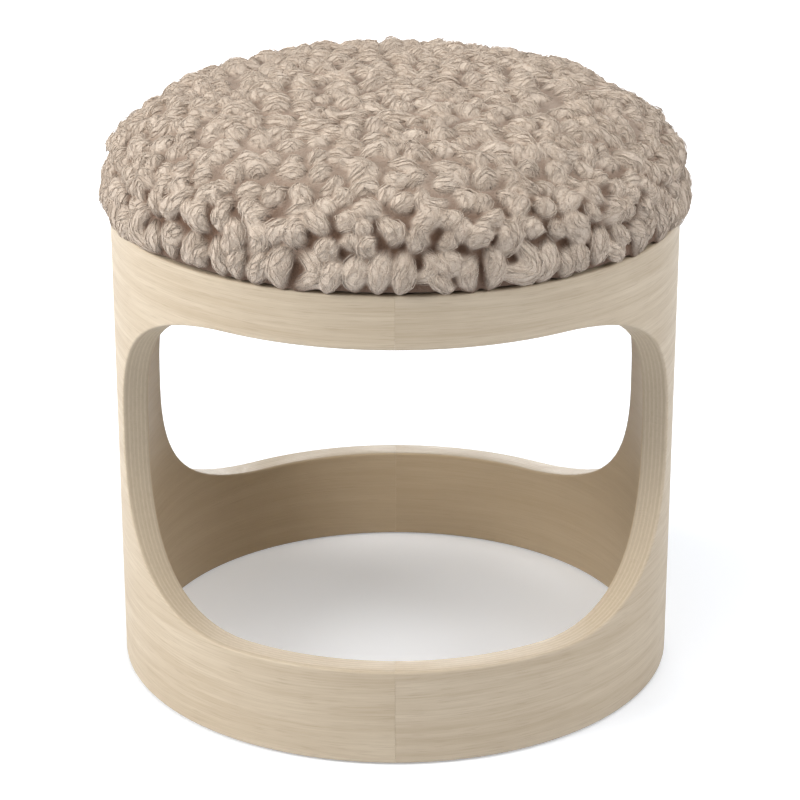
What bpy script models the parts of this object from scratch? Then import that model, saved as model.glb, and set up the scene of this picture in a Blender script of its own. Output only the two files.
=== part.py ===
"""Round ottoman: a bent plywood drum with a wide window front and back, under a domed pile cushion.

The drum is two half shells, left and right, that meet on dowels in the middle of the front and
the back. A plywood deck closes its top, on blocks screwed to the shells. The cushion is built on
a plywood board of its own: a foam pad, a batting wrap, a pile cover turned in under the board and
a dust cover. Four bolts through the deck hold it. The drum stands on six button glides.

Metres, +Z up, the front towards -Y. The origin is on the floor, under the drum's axis.
"""

import math

import bmesh
import bpy
from mathutils import Matrix, Vector

# Clearance between pieces that touch, and how far a cutter runs past the face that it opens
GAP = 0.0003
OVERRUN = 0.002
WELD = 0.000001

# Drum: bent plywood, its bands measured at the middle of a window
DRUM_RADIUS = 0.200
WALL = 0.0186
LOWER_BAND = 0.0695
WINDOW_HEIGHT = 0.2318
UPPER_BAND = 0.0374
EDGE_ROUND = 0.0015

# Window: its width along the outer face, and the straight stretches left between its round corners
WINDOW_ARC = 0.5128
SILL_STRAIGHT = 0.2372
SIDE_STRAIGHT = 0.0186

# Dowels across the two seams, and where they sit in the height of a band
DOWEL_RADIUS = 0.004
DOWEL_LENGTH = 0.030
DOWEL_CHAMFER = 0.001
DOWEL_HEIGHT_SHARES = (0.27, 0.73)

# Glides: a button let into the lower edge, on a stem
GLIDE_RADIUS = 0.006
GLIDE_HEAD = 0.002
GLIDE_RECESS = 0.001
GLIDE_ROUND = 0.0005
GLIDE_STEM_RADIUS = 0.0025
GLIDE_STEM = 0.010
GLIDE_TIP = 0.0012
GLIDE_COUNT = 6

# Deck and the blocks under it
DECK_THICK = 0.015
BLOCK_LENGTH = 0.080
BLOCK_DEPTH = 0.018
BLOCK_HEIGHT = 0.020
BLOCK_COUNT = 6
BLOCK_SCREW_SPACING = 0.060

# Wood screws, countersunk
SCREW_RADIUS = 0.002
SCREW_HEAD_RADIUS = 0.004
SCREW_HEAD = 0.0022
SCREW_LENGTH = 0.030
SCREW_TIP = 0.005

# Cushion: how far it swells past the drum, where its underside is drawn in, and its heights
CUSHION_SWELL = 0.008
CUSHION_TUCK = 0.012
SIDE_RISE = 0.0115
CROWN_RISE = 0.0665
BOARD_THICK = 0.012
FOAM_OVERHANG = 0.004
BATTING_THICK = 0.008
PILE_THICK = 0.010
HEM_THICK = 0.0015
HEM_WIDTH = 0.030
DUST_COVER_THICK = 0.0006
DUST_COVER_LAP = 0.020

# How full the dome and the turned-in side are: 2 is an ellipse, more is squarer
CROWN_POWER = 2.04
CROWN_FULLNESS = 2.2
SIDE_POWER = 2.0

# Pile: its rows of lumps from the crown to the widest point, and how deep it sinks between them
LUMP_ROWS = 4
LUMP_DEPTH = 0.0065

# Bolts that hold the cushion, with washers under the deck and tee nuts in the board
BOLT_CIRCLE = 0.110
BOLT_COUNT = 4
BOLT_RADIUS = 0.003
BOLT_HEAD_RADIUS = 0.0055
BOLT_HEAD = 0.0035
BOLT_SHORT = 0.001
WASHER_RADIUS = 0.009
WASHER_THICK = 0.0014
NUT_BARREL_RADIUS = 0.0045
NUT_BARREL = 0.009
NUT_FLANGE_RADIUS = 0.010
NUT_FLANGE = 0.0014

# Facets
SILL_STEPS = 8
CORNER_STEPS = 12
POST_STEPS = 4
ROUND_SEGMENTS = 1
DECK_SIDES = 48
CUSHION_SIDES = 36
CROWN_STEPS = 8
SIDE_STEPS = 4
LUMP_RINGS = 3 * LUMP_ROWS
LUMP_SIDE_RINGS = 2
FINE_STEPS = 96
ROD_SIDES = 12
SCREW_SIDES = 8
BLOCK_STEPS = 4
SMOOTH_ANGLE = math.radians(35)
SOFT_ANGLE = math.radians(75)

# Heights, each from the one below it
DRUM_BOTTOM = GLIDE_HEAD - GLIDE_RECESS + GAP
SILL = DRUM_BOTTOM + LOWER_BAND
HEAD = SILL + WINDOW_HEIGHT
DRUM_TOP = HEAD + UPPER_BAND
DECK_BOTTOM = DRUM_TOP - DECK_THICK
BLOCK_TOP = DECK_BOTTOM - GAP
BLOCK_BOTTOM = BLOCK_TOP - BLOCK_HEIGHT
DUST_BOTTOM = DRUM_TOP + GAP
HEM_BOTTOM = DUST_BOTTOM + DUST_COVER_THICK + GAP
HEM_TOP = HEM_BOTTOM + HEM_THICK
BOARD_BOTTOM = HEM_TOP + GAP
BOARD_TOP = BOARD_BOTTOM + BOARD_THICK
WIDEST = BOARD_TOP + SIDE_RISE
CROWN = WIDEST + CROWN_RISE

# Radii
WALL_MIDDLE = DRUM_RADIUS - WALL / 2
WALL_INSIDE = DRUM_RADIUS - WALL
CUSHION_RADIUS = DRUM_RADIUS + CUSHION_SWELL
UNDERSIDE_RADIUS = DRUM_RADIUS - CUSHION_TUCK
BOARD_RADIUS = UNDERSIDE_RADIUS - PILE_THICK - GAP
HEM_RADIUS = BOARD_RADIUS - HEM_WIDTH
DUST_RADIUS = HEM_RADIUS + DUST_COVER_LAP

UP = Vector((0, 0, 1))


def material(name, colour, roughness, metallic=0.0):
    """A Principled material of one colour, given as linear red, green and blue."""
    finish = bpy.data.materials.new(name)
    finish.use_nodes = True
    shader = finish.node_tree.nodes["Principled BSDF"]
    shader.inputs["Base Color"].default_value = (*colour, 1)
    shader.inputs["Roughness"].default_value = roughness
    shader.inputs["Metallic"].default_value = metallic
    return finish


def spun(bm, outline, sides, frame=None, ring=False):
    """Spins an outline of (radius, height) points about the frame's Z axis; a ring closes on itself."""
    frame = frame or Matrix()
    points = [bm.verts.new(frame @ Vector((radius, 0, height))) for radius, height in outline]
    pairs = list(zip(points, points[1:]))
    if ring:
        pairs.append((points[-1], points[0]))
    edges = [bm.edges.new(pair) for pair in pairs]
    axis = (frame.to_3x3() @ UP).normalized()
    bmesh.ops.spin(
        bm,
        geom=points + edges,
        cent=frame.translation,
        axis=axis,
        angle=math.tau,
        steps=sides,
        use_merge=True,
    )
    return bm


def mesh_of(name, bm, smooth_angle=SMOOTH_ANGLE):
    """The mesh of a finished bmesh, welded, facing out and shaded smooth up to its sharp edges."""
    bmesh.ops.remove_doubles(bm, verts=bm.verts, dist=WELD)
    bmesh.ops.recalc_face_normals(bm, faces=bm.faces)
    mesh = bpy.data.meshes.new(name)
    bm.to_mesh(mesh)
    bm.free()
    mesh.shade_smooth()
    mesh.set_sharp_from_angle(angle=smooth_angle)
    return mesh


def place(name, mesh, finish, root, frame=None):
    """An object of its own for one piece, under the root."""
    if not mesh.materials:
        mesh.materials.append(finish)
    piece = bpy.data.objects.new(name, mesh)
    bpy.context.scene.collection.objects.link(piece)
    piece.parent = root
    piece.matrix_world = frame or Matrix()
    return piece


def place_each(name, mesh, finish, root, frames):
    """One numbered object for each place in the list, all of one mesh."""
    return [place(f"{name}_{number}", mesh, finish, root, frame) for number, frame in enumerate(frames, 1)]


def bored(piece, name, bm):
    """Cuts a set of bores from a piece with one hidden cutter."""
    cutter = place(name, mesh_of(name, bm), piece.data.materials[0], piece.parent)
    cutter.hide_render = True
    cutter.display_type = "WIRE"
    cut = piece.modifiers.new("Bores", "BOOLEAN")
    cut.operation = "DIFFERENCE"
    cut.solver = "EXACT"
    cut.object = cutter


def around(count, radius, height, start=0.0):
    """Frames evenly spaced on a circle, each with X pointing out from the drum's axis."""
    frames = []
    for number in range(count):
        turn = Matrix.Rotation(start + math.tau * number / count, 4, "Z")
        frames.append(turn @ Matrix.Translation((radius, 0, height)))
    return frames


def window_stations():
    """Arc, sill height and head height from a window's middle to the middle of the post beside it.

    The sill and the head are straight in the middle. Each corner is a quarter of an ellipse on the
    unrolled wall, and a short straight side joins the two corners.
    """
    straight = SILL_STRAIGHT / 2
    reach = WINDOW_ARC / 2 - straight
    rise = (WINDOW_HEIGHT - SIDE_STRAIGHT) / 2
    seam = GAP / 2
    stations = []
    for step in range(SILL_STEPS):
        stations.append((seam + (straight - seam) * step / SILL_STEPS, SILL, HEAD))
    for step in range(CORNER_STEPS + 1):
        turn = math.pi / 2 * step / CORNER_STEPS
        lift = rise * (1 - math.cos(turn))
        stations.append((straight + reach * math.sin(turn), SILL + lift, HEAD - lift))
    return stations


def post_arcs():
    """Arcs across the post, from the side of the front window to the side of the back one."""
    start = WINDOW_ARC / 2
    width = math.pi * DRUM_RADIUS - WINDOW_ARC
    steps = 2 * POST_STEPS
    return [start + width * step / steps for step in range(1, steps)]


def facet_share():
    """How much nearer the axis the middle of the widest flat facet lies, as a share of the radius."""
    arcs = [station[0] for station in window_stations()] + post_arcs()
    widest = max(after - before for before, after in zip(arcs, arcs[1:]))
    return math.cos(widest / DRUM_RADIUS / 2)


def unrolled_wall():
    """Half of the drum's wall, flat: X along the outer arc, Y into the wall, Z up."""
    bm = bmesh.new()
    front = window_stations()
    whole = math.pi * DRUM_RADIUS
    back = [(whole - arc, sill, head) for arc, sill, head in reversed(front)]

    def column(*heights):
        return [bm.verts.new((arc, 0, height)) for height in heights]

    sides = []
    for stations in (front, back):
        columns = []
        for arc, sill, head in stations:
            columns.append(column(DRUM_BOTTOM, sill, head, DRUM_TOP))
        for here, there in zip(columns, columns[1:]):
            bm.faces.new((here[0], there[0], there[1], here[1]))
            bm.faces.new((here[2], there[2], there[3], here[3]))
        sides.append(columns)
    posts = []
    for arc in post_arcs():
        posts.append(column(DRUM_BOTTOM, DRUM_TOP))
    posts.insert(0, sides[0][-1])
    posts.append(sides[1][0])
    for here, there in zip(posts, posts[1:]):
        bm.faces.new(here[::-1] + there)
    sheet = bmesh.ops.extrude_face_region(bm, geom=bm.faces[:])
    inner = [item for item in sheet["geom"] if isinstance(item, bmesh.types.BMVert)]
    bmesh.ops.translate(bm, vec=(0, WALL, 0), verts=inner)
    return bm


def half_shell(name, side, finish, root):
    """One half of the drum: the flat wall bent round the axis, to the right or, mirrored, to the left."""
    bm = unrolled_wall()
    for vert in bm.verts:
        arc, depth, height = vert.co
        angle = arc / DRUM_RADIUS
        radius = DRUM_RADIUS - depth
        vert.co = (side * radius * math.sin(angle), -radius * math.cos(angle), height)
    shell = place(name, mesh_of(name, bm), finish, root)
    edge = shell.modifiers.new("Rounded edges", "BEVEL")
    edge.width = EDGE_ROUND
    edge.segments = ROUND_SEGMENTS
    edge.limit_method = "ANGLE"
    edge.angle_limit = SMOOTH_ANGLE
    return shell


def rod_outline(radius, length, chamfer=0.0):
    """A rod centred on its frame, with chamfered ends."""
    half = length / 2
    outline = [(0, -half), (radius - chamfer, -half)]
    if chamfer:
        outline += [(radius, chamfer - half), (radius, half - chamfer)]
    return outline + [(radius - chamfer, half), (0, half)]


def screw_outline(clearance=0.0, overrun=0.0):
    """A countersunk screw that points up its frame, its head's face on the frame's origin."""
    outline = [(0, -overrun), (SCREW_HEAD_RADIUS + clearance, -overrun)]
    if overrun:
        outline.append((SCREW_HEAD_RADIUS + clearance, 0))
    return outline + [
        (SCREW_RADIUS + clearance, SCREW_HEAD),
        (SCREW_RADIUS + clearance, SCREW_LENGTH - SCREW_TIP),
        (0, SCREW_LENGTH + clearance),
    ]


def glide_outline(clearance=0.0):
    """A button glide: a head with a rounded rim and a pointed stem; with clearance, its socket."""
    lowest = -OVERRUN if clearance else 0
    rim = 0 if clearance else GLIDE_ROUND
    return [
        (0, lowest),
        (GLIDE_RADIUS + clearance - rim, lowest),
        (GLIDE_RADIUS + clearance, lowest + rim),
        (GLIDE_RADIUS + clearance, GLIDE_HEAD + clearance),
        (GLIDE_STEM_RADIUS + clearance, GLIDE_HEAD + clearance),
        (GLIDE_STEM_RADIUS + clearance, GLIDE_HEAD + GLIDE_STEM - GLIDE_TIP),
        (0, GLIDE_HEAD + GLIDE_STEM + clearance),
    ]


def dowel_frames():
    """The dowels' places, across the seams of both bands, front and back."""
    lie_down = Matrix.Rotation(math.pi / 2, 4, "Y")
    frames = []
    for seam in (-WALL_MIDDLE, WALL_MIDDLE):
        for bottom, band in ((DRUM_BOTTOM, LOWER_BAND), (HEAD, UPPER_BAND)):
            for share in DOWEL_HEIGHT_SHARES:
                frames.append(Matrix.Translation((0, seam, bottom + band * share)) @ lie_down)
    return frames


def block_frames():
    """The blocks' places: on each seam, and evenly between."""
    return around(BLOCK_COUNT, 0, BLOCK_BOTTOM, start=math.pi / 2)


def block_front():
    """How far the flat front of a block stands from the drum's axis."""
    return WALL_INSIDE - BLOCK_DEPTH


def shell_screw_frames():
    """Two level screws through each block into the shell."""
    outward = Matrix.Rotation(math.pi / 2, 4, "Y")
    frames = []
    for block in block_frames():
        for side in (-BLOCK_SCREW_SPACING / 2, BLOCK_SCREW_SPACING / 2):
            head = Matrix.Translation((block_front(), side, BLOCK_HEIGHT / 2))
            frames.append(block @ head @ outward)
    return frames


def deck_screw_frames():
    """One screw up through each block into the deck."""
    middle = block_front() + BLOCK_DEPTH / 2
    return [block @ Matrix.Translation((middle, 0, 0)) for block in block_frames()]


def make_shells(root):
    """The two half shells, with every bore that the dowels, screws and glides need."""
    finish = material("oak_veneered_plywood", (0.60, 0.46, 0.32), 0.55)
    glide_places = around(GLIDE_COUNT, WALL_MIDDLE, 0)
    for name, side in (("left_shell", -1), ("right_shell", 1)):
        shell = half_shell(name, side, finish, root)
        bm = bmesh.new()
        for frame in dowel_frames():
            spun(bm, rod_outline(DOWEL_RADIUS + GAP, DOWEL_LENGTH + 2 * GAP), SCREW_SIDES, frame)
        for frame in shell_screw_frames():
            spun(bm, screw_outline(GAP), SCREW_SIDES, frame)
        for frame in glide_places:
            spun(bm, glide_outline(GAP), ROD_SIDES, frame)
        bored(shell, f"{name}_bores", bm)


def make_dowels(root):
    """The dowels that cross the seams."""
    bm = spun(bmesh.new(), rod_outline(DOWEL_RADIUS, DOWEL_LENGTH, DOWEL_CHAMFER), SCREW_SIDES)
    finish = material("beech_dowel", (0.62, 0.46, 0.30), 0.6)
    place_each("seam_dowel", mesh_of("seam_dowel", bm), finish, root, dowel_frames())


def make_glides(root):
    """The glides under the lower band."""
    bm = spun(bmesh.new(), glide_outline(), ROD_SIDES)
    finish = material("glide_nylon", (0.62, 0.58, 0.52), 0.45)
    frames = around(GLIDE_COUNT, WALL_MIDDLE, 0)
    place_each("floor_glide", mesh_of("floor_glide", bm), finish, root, frames)


def bolt_frames(height):
    """Places on the bolt circle at one height."""
    return around(BOLT_COUNT, BOLT_CIRCLE, height, start=math.pi / BOLT_COUNT)


def make_deck(root):
    """The plywood deck, flush with the drum's top edge."""
    radius = WALL_INSIDE * facet_share() - GAP
    outline = [(0, DECK_BOTTOM), (radius, DECK_BOTTOM), (radius, DRUM_TOP), (0, DRUM_TOP)]
    finish = material("deck_plywood", (0.50, 0.36, 0.22), 0.7)
    deck = place("seat_deck", mesh_of("seat_deck", spun(bmesh.new(), outline, DECK_SIDES)), finish, root)
    bm = bmesh.new()
    bore = rod_outline(BOLT_RADIUS + GAP, DECK_THICK + 2 * OVERRUN)
    for frame in bolt_frames(DECK_BOTTOM + DECK_THICK / 2):
        spun(bm, bore, ROD_SIDES, frame)
    for frame in deck_screw_frames():
        spun(bm, screw_outline(GAP), SCREW_SIDES, frame)
    bored(deck, "seat_deck_bores", bm)


def block_mesh():
    """A block with a flat front and a back that follows the inside of the drum."""
    bm = bmesh.new()
    back = WALL_INSIDE * facet_share() - GAP
    half = BLOCK_LENGTH / 2
    outline = [(block_front(), -half)]
    for step in range(BLOCK_STEPS + 1):
        across = BLOCK_LENGTH * step / BLOCK_STEPS - half
        outline.append((math.sqrt(back**2 - across**2), across))
    outline.append((block_front(), half))
    floor = bm.faces.new([bm.verts.new((out, across, 0)) for out, across in outline])
    raised = bmesh.ops.extrude_face_region(bm, geom=[floor])
    lifted = [item for item in raised["geom"] if isinstance(item, bmesh.types.BMVert)]
    bmesh.ops.translate(bm, vec=(0, 0, BLOCK_HEIGHT), verts=lifted)
    return mesh_of("ledger_block", bm)


def make_blocks(root):
    """The ledger blocks under the deck, bored for their screws."""
    finish = material("block_birch", (0.58, 0.42, 0.26), 0.7)
    blocks = place_each("ledger_block", block_mesh(), finish, root, block_frames())
    for block in blocks:
        bm = bmesh.new()
        for frame in shell_screw_frames() + deck_screw_frames():
            spun(bm, screw_outline(GAP, OVERRUN), SCREW_SIDES, frame)
        bored(block, f"{block.name}_bores", bm)


def make_screws(root):
    """The countersunk screws in the blocks: level into the shells, and up into the deck."""
    mesh = mesh_of("wood_screw", spun(bmesh.new(), screw_outline(), SCREW_SIDES))
    finish = material("screw_zinc_yellow", (0.55, 0.43, 0.22), 0.35, 1.0)
    place_each("shell_screw", mesh, finish, root, shell_screw_frames())
    place_each("deck_screw", mesh, finish, root, deck_screw_frames())


def crown_points(radius, top, steps=CROWN_STEPS):
    """The dome from its crown to its widest point, as (radius, height)."""
    points = [(0, top)]
    for step in range(1, steps + 1):
        turn = math.pi / 2 * step / steps
        across = math.sin(turn)
        level = max(0.0, 1 - across**CROWN_POWER) ** (1 / CROWN_FULLNESS)
        points.append((radius * across, WIDEST + (top - WIDEST) * level))
    return points


def side_points(radius, low_radius, low, steps=SIDE_STEPS):
    """The drawn-in side, from just under the widest point to the underside."""
    points = []
    for step in range(1, steps + 1):
        drop = math.sin(math.pi / 2 * step / steps)
        level = max(0.0, 1 - drop**SIDE_POWER) ** (1 / SIDE_POWER)
        points.append((low_radius + (radius - low_radius) * level, WIDEST + (low - WIDEST) * drop))
    return points


def evenly_spaced(points, steps):
    """A line of (radius, height) points, drawn again in equal steps."""
    walked = [0.0]
    for here, there in zip(points, points[1:]):
        walked.append(walked[-1] + math.dist(here, there))
    spaced = []
    for step in range(steps + 1):
        wanted = walked[-1] * step / steps
        place = max(1, next(number for number, way in enumerate(walked) if way >= wanted - WELD))
        share = (wanted - walked[place - 1]) / (walked[place] - walked[place - 1])
        spaced.append(tuple(Vector(points[place - 1]).lerp(Vector(points[place]), share)))
    return spaced


def ring_of(bm, radius, height, count, start=0.0, moves=None):
    """A ring of evenly spaced points as (share of a turn, vertex), each with its own move (out, up)."""
    ring = []
    for place in range(count):
        share = (place + start) / count
        out, up = moves[place] if moves else (0.0, 0.0)
        turn = math.tau * share
        reach = radius + out
        ring.append((share, bm.verts.new((reach * math.cos(turn), reach * math.sin(turn), height + up))))
    return ring


def sew(bm, upper, lower):
    """Joins two rings with triangles, by way of whichever ring's next point comes first."""
    up = len(upper) if len(upper) == 1 else 0
    down = len(lower) if len(lower) == 1 else 0
    while up < len(upper) or down < len(lower):
        here, there = upper[up % len(upper)][1], lower[down % len(lower)][1]
        after_up, after_down = (up + 1) % len(upper), (down + 1) % len(lower)
        next_up = upper[after_up][0] + (up + 1) // len(upper)
        next_down = lower[after_down][0] + (down + 1) // len(lower)
        if down == len(lower) or (up < len(upper) and next_up <= next_down + WELD):
            bm.faces.new((here, there, upper[after_up][1]))
            up += 1
        else:
            bm.faces.new((here, there, lower[after_down][1]))
            down += 1


def is_top(sector, below, place):
    """Whether a point is the top of a lump, by its ring and its place in the ring."""
    if below:
        return place % 3 == below % 2
    return (sector + place % max(sector, 1)) % 3 == 0


def pile_rings(bm):
    """The rings of the pile's outside, from the crown down to the underside.

    A ring on the dome has six points more than the one above it, as in a honeycomb. Every third
    point is the top of a lump, and the points round it are sunk. Below the widest ring the count
    stays, every second ring stands half a step on, and the depth fades out at the underside.
    """
    outside = evenly_spaced(crown_points(CUSHION_RADIUS, CROWN, FINE_STEPS), LUMP_RINGS)
    outside += side_points(CUSHION_RADIUS, UNDERSIDE_RADIUS, HEM_BOTTOM, LUMP_SIDE_RINGS)
    rings = []
    for number, (radius, height) in enumerate(outside):
        sector = min(number, LUMP_RINGS)
        below = number - sector
        before = Vector(outside[max(number - 1, 0)])
        after = Vector(outside[min(number + 1, len(outside) - 1)])
        slope = (after - before).normalized()
        depth = LUMP_DEPTH * (1 - below / LUMP_SIDE_RINGS)
        inward = (slope.y * depth, -slope.x * depth)
        count = max(1, 6 * sector)
        moves = [(0.0, 0.0) if is_top(sector, below, place) else inward for place in range(count)]
        rings.append(ring_of(bm, radius, height, count, below % 2 / 2, moves))
    return rings


def make_cover(root):
    """The pile cover: domed, lumpy, drawn in at its side, and turned in under the board as a hem."""
    bm = bmesh.new()
    rings = pile_rings(bm)
    inner_radius = CUSHION_RADIUS - PILE_THICK
    inside = crown_points(inner_radius, CROWN - PILE_THICK)
    inside += side_points(inner_radius, BOARD_RADIUS + GAP, HEM_TOP)
    hem = [(HEM_RADIUS, HEM_BOTTOM), (HEM_RADIUS, HEM_TOP)]
    for radius, height in hem + inside[::-1]:
        rings.append(ring_of(bm, radius, height, CUSHION_SIDES if radius else 1))
    for upper, lower in zip(rings, rings[1:]):
        sew(bm, upper, lower)
    finish = material("cover_curly_pile", (0.47, 0.36, 0.28), 0.95)
    place("cushion_cover", mesh_of("cushion_cover", bm, SOFT_ANGLE), finish, root)


def make_batting(root):
    """The batting wrap, over the foam and down round the board's edge."""
    outer_radius = CUSHION_RADIUS - PILE_THICK - GAP
    outside = crown_points(outer_radius, CROWN - PILE_THICK - GAP)
    low_radius = BOARD_RADIUS + GAP
    for radius, height in side_points(outer_radius, low_radius, BOARD_BOTTOM)[:-1]:
        outside.append((radius, height))
    board_edge = [(low_radius, BOARD_BOTTOM + BOARD_THICK / 4), (low_radius, BOARD_TOP + GAP / 2)]
    inside = foam_points(GAP)
    outline = outside + board_edge + inside[::-1]
    bm = spun(bmesh.new(), outline, CUSHION_SIDES)
    finish = material("batting_polyester", (0.80, 0.80, 0.78), 0.95)
    place("batting_wrap", mesh_of("batting_wrap", bm), finish, root)


def foam_points(clearance=0.0):
    """The foam pad's outside from its crown to its lower corner, or the batting's inside round it."""
    radius = CUSHION_RADIUS - PILE_THICK - BATTING_THICK - 2 * GAP + clearance
    points = crown_points(radius, CROWN - PILE_THICK - BATTING_THICK - 2 * GAP + clearance)
    low = BOARD_TOP + GAP - clearance / 2
    return points + [(BOARD_RADIUS + FOAM_OVERHANG + clearance, low)]


def make_foam(root):
    """The foam pad, a little wider than the board that it is glued to."""
    outline = foam_points() + [(0, BOARD_TOP + GAP)]
    bm = spun(bmesh.new(), outline, CUSHION_SIDES)
    finish = material("foam_polyurethane", (0.78, 0.72, 0.50), 0.9)
    place("foam_pad", mesh_of("foam_pad", bm), finish, root)


def make_board(root):
    """The cushion's own board, with stepped bores for the tee nuts."""
    outline = [(0, BOARD_BOTTOM), (BOARD_RADIUS, BOARD_BOTTOM), (BOARD_RADIUS, BOARD_TOP), (0, BOARD_TOP)]
    finish = material("board_plywood", (0.50, 0.37, 0.24), 0.75)
    bm = spun(bmesh.new(), outline, CUSHION_SIDES)
    board = place("cushion_board", mesh_of("cushion_board", bm), finish, root)
    barrel_end = -NUT_BARREL - GAP
    flange_end = -NUT_FLANGE - GAP
    bore = [
        (0, OVERRUN),
        (NUT_FLANGE_RADIUS + GAP, OVERRUN),
        (NUT_FLANGE_RADIUS + GAP, flange_end),
        (NUT_BARREL_RADIUS + GAP, flange_end),
        (NUT_BARREL_RADIUS + GAP, barrel_end),
        (BOLT_RADIUS + GAP, barrel_end),
        (BOLT_RADIUS + GAP, -BOARD_THICK - OVERRUN),
        (0, -BOARD_THICK - OVERRUN),
    ]
    cutter = bmesh.new()
    for frame in bolt_frames(BOARD_TOP):
        spun(cutter, bore, ROD_SIDES, frame)
    bored(board, "cushion_board_bores", cutter)


def make_dust_cover(root):
    """The thin dust cover under the board, over the inner edge of the hem."""
    top = DUST_BOTTOM + DUST_COVER_THICK
    outline = [(0, DUST_BOTTOM), (DUST_RADIUS, DUST_BOTTOM), (DUST_RADIUS, top), (0, top)]
    finish = material("dust_cover_black", (0.02, 0.02, 0.02), 0.9)
    bm = spun(bmesh.new(), outline, CUSHION_SIDES)
    sheet = place("dust_cover", mesh_of("dust_cover", bm), finish, root)
    cutter = bmesh.new()
    for frame in bolt_frames(DUST_BOTTOM):
        spun(cutter, rod_outline(BOLT_RADIUS + GAP, 2 * OVERRUN), ROD_SIDES, frame)
    bored(sheet, "dust_cover_bores", cutter)


def make_bolts(root):
    """The four bolts, each with its washer under the deck and its tee nut in the board."""
    steel = material("bolt_steel", (0.45, 0.45, 0.46), 0.35, 1.0)
    washer_top = DECK_BOTTOM - GAP
    hole = BOLT_RADIUS + GAP
    washer = [(hole, 0), (WASHER_RADIUS, 0), (WASHER_RADIUS, -WASHER_THICK), (hole, -WASHER_THICK)]
    washer_mesh = mesh_of("bolt_washer", spun(bmesh.new(), washer, ROD_SIDES, ring=True))
    place_each("bolt_washer", washer_mesh, steel, root, bolt_frames(washer_top))
    seat = washer_top - WASHER_THICK - GAP
    reach = BOARD_TOP - BOLT_SHORT - seat
    bolt = [
        (0, -BOLT_HEAD),
        (BOLT_HEAD_RADIUS, -BOLT_HEAD),
        (BOLT_HEAD_RADIUS, 0),
        (BOLT_RADIUS, 0),
        (BOLT_RADIUS, reach),
        (0, reach),
    ]
    bolt_mesh = mesh_of("cushion_bolt", spun(bmesh.new(), bolt, ROD_SIDES))
    place_each("cushion_bolt", bolt_mesh, steel, root, bolt_frames(seat))
    nut = [
        (hole, 0),
        (NUT_FLANGE_RADIUS, 0),
        (NUT_FLANGE_RADIUS, -NUT_FLANGE),
        (NUT_BARREL_RADIUS, -NUT_FLANGE),
        (NUT_BARREL_RADIUS, -NUT_BARREL),
        (hole, -NUT_BARREL),
    ]
    nut_mesh = mesh_of("tee_nut", spun(bmesh.new(), nut, ROD_SIDES, ring=True))
    place_each("tee_nut", nut_mesh, steel, root, bolt_frames(BOARD_TOP))


def main():
    """Clears the scene and builds the ottoman from the floor up."""
    for old in list(bpy.data.objects):
        bpy.data.objects.remove(old)
    root = bpy.data.objects.new("ottoman", None)
    bpy.context.scene.collection.objects.link(root)
    make_glides(root)
    make_shells(root)
    make_dowels(root)
    make_deck(root)
    make_blocks(root)
    make_screws(root)
    make_board(root)
    make_foam(root)
    make_batting(root)
    make_cover(root)
    make_dust_cover(root)
    make_bolts(root)


main()
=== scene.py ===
"""Looks of the round ottoman: a bent oak drum with two windows and a curly pile cushion.

Every length is in metres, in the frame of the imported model: the floor is z = 0, the drum
stands on the z axis, and the front window faces -Y.
"""

import logging
import math
from dataclasses import dataclass, field, fields, replace
from enum import Enum
from functools import cached_property

import bmesh
import bpy
import numpy as np
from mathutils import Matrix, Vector


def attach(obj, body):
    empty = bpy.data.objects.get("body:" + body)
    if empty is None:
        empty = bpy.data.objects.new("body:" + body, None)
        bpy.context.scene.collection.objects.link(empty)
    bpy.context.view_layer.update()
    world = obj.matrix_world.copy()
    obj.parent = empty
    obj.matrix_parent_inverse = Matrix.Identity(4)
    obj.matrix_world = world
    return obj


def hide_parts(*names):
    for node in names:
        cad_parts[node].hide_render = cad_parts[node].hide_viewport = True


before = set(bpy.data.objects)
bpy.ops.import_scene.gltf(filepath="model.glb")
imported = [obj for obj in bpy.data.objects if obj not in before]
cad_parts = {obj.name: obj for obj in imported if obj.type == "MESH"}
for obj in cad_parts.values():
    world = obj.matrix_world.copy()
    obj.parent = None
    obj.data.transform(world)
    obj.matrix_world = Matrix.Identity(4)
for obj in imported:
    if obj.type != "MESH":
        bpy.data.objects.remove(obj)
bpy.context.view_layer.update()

log = logging.getLogger("ottoman")

BODY = "root"
TINY = 0.00001
NO_LENGTH = 1e-12
FULL_TURN = 2 * math.pi
QUARTER_TURN = math.pi / 2
GOLDEN_TURN = math.pi * (3 - math.sqrt(5))
TURNED_CREASE = math.radians(40)

Colour = tuple[float, float, float]
Socket = bpy.types.NodeSocket


class Side(Enum):
    """The two half shells of the drum, by the sign of their x."""

    LEFT = -1
    RIGHT = 1


class Drive(Enum):
    """The recess in a fastener's head."""

    CROSS = "cross"
    HEXAGON = "hexagon"


@dataclass
class Surface:
    """A mesh in the making.

    points are the vertices, faces their four-sided cells, and places the two texture
    coordinates of each face corner. marks are named numbers, one for each vertex.
    """

    points: np.ndarray
    faces: np.ndarray
    places: np.ndarray
    marks: dict[str, np.ndarray] = field(default_factory=dict)


@dataclass(frozen=True)
class Line:
    """A line through points (radius, height)."""

    points: np.ndarray

    @cached_property
    def walked(self) -> np.ndarray:
        """The way walked along the line to each point."""
        return np.concatenate([[0], np.cumsum(np.hypot(*np.diff(self.points, axis=0).T))])

    @cached_property
    def slope(self) -> np.ndarray:
        """The direction (radius, height) ahead at each point."""
        return np.gradient(self.points, self.walked, axis=0)

    def read(self, way: np.ndarray, pairs: np.ndarray) -> tuple[np.ndarray, np.ndarray]:
        """Reads pairs that belong to the line's points at other places along it."""
        return np.interp(way, self.walked, pairs[:, 0]), np.interp(way, self.walked, pairs[:, 1])

    def way_at(self, height: float) -> float:
        """Gives the way down to a height on a line that falls."""
        return np.interp(-height, -self.points[:, 1], self.walked)


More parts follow.
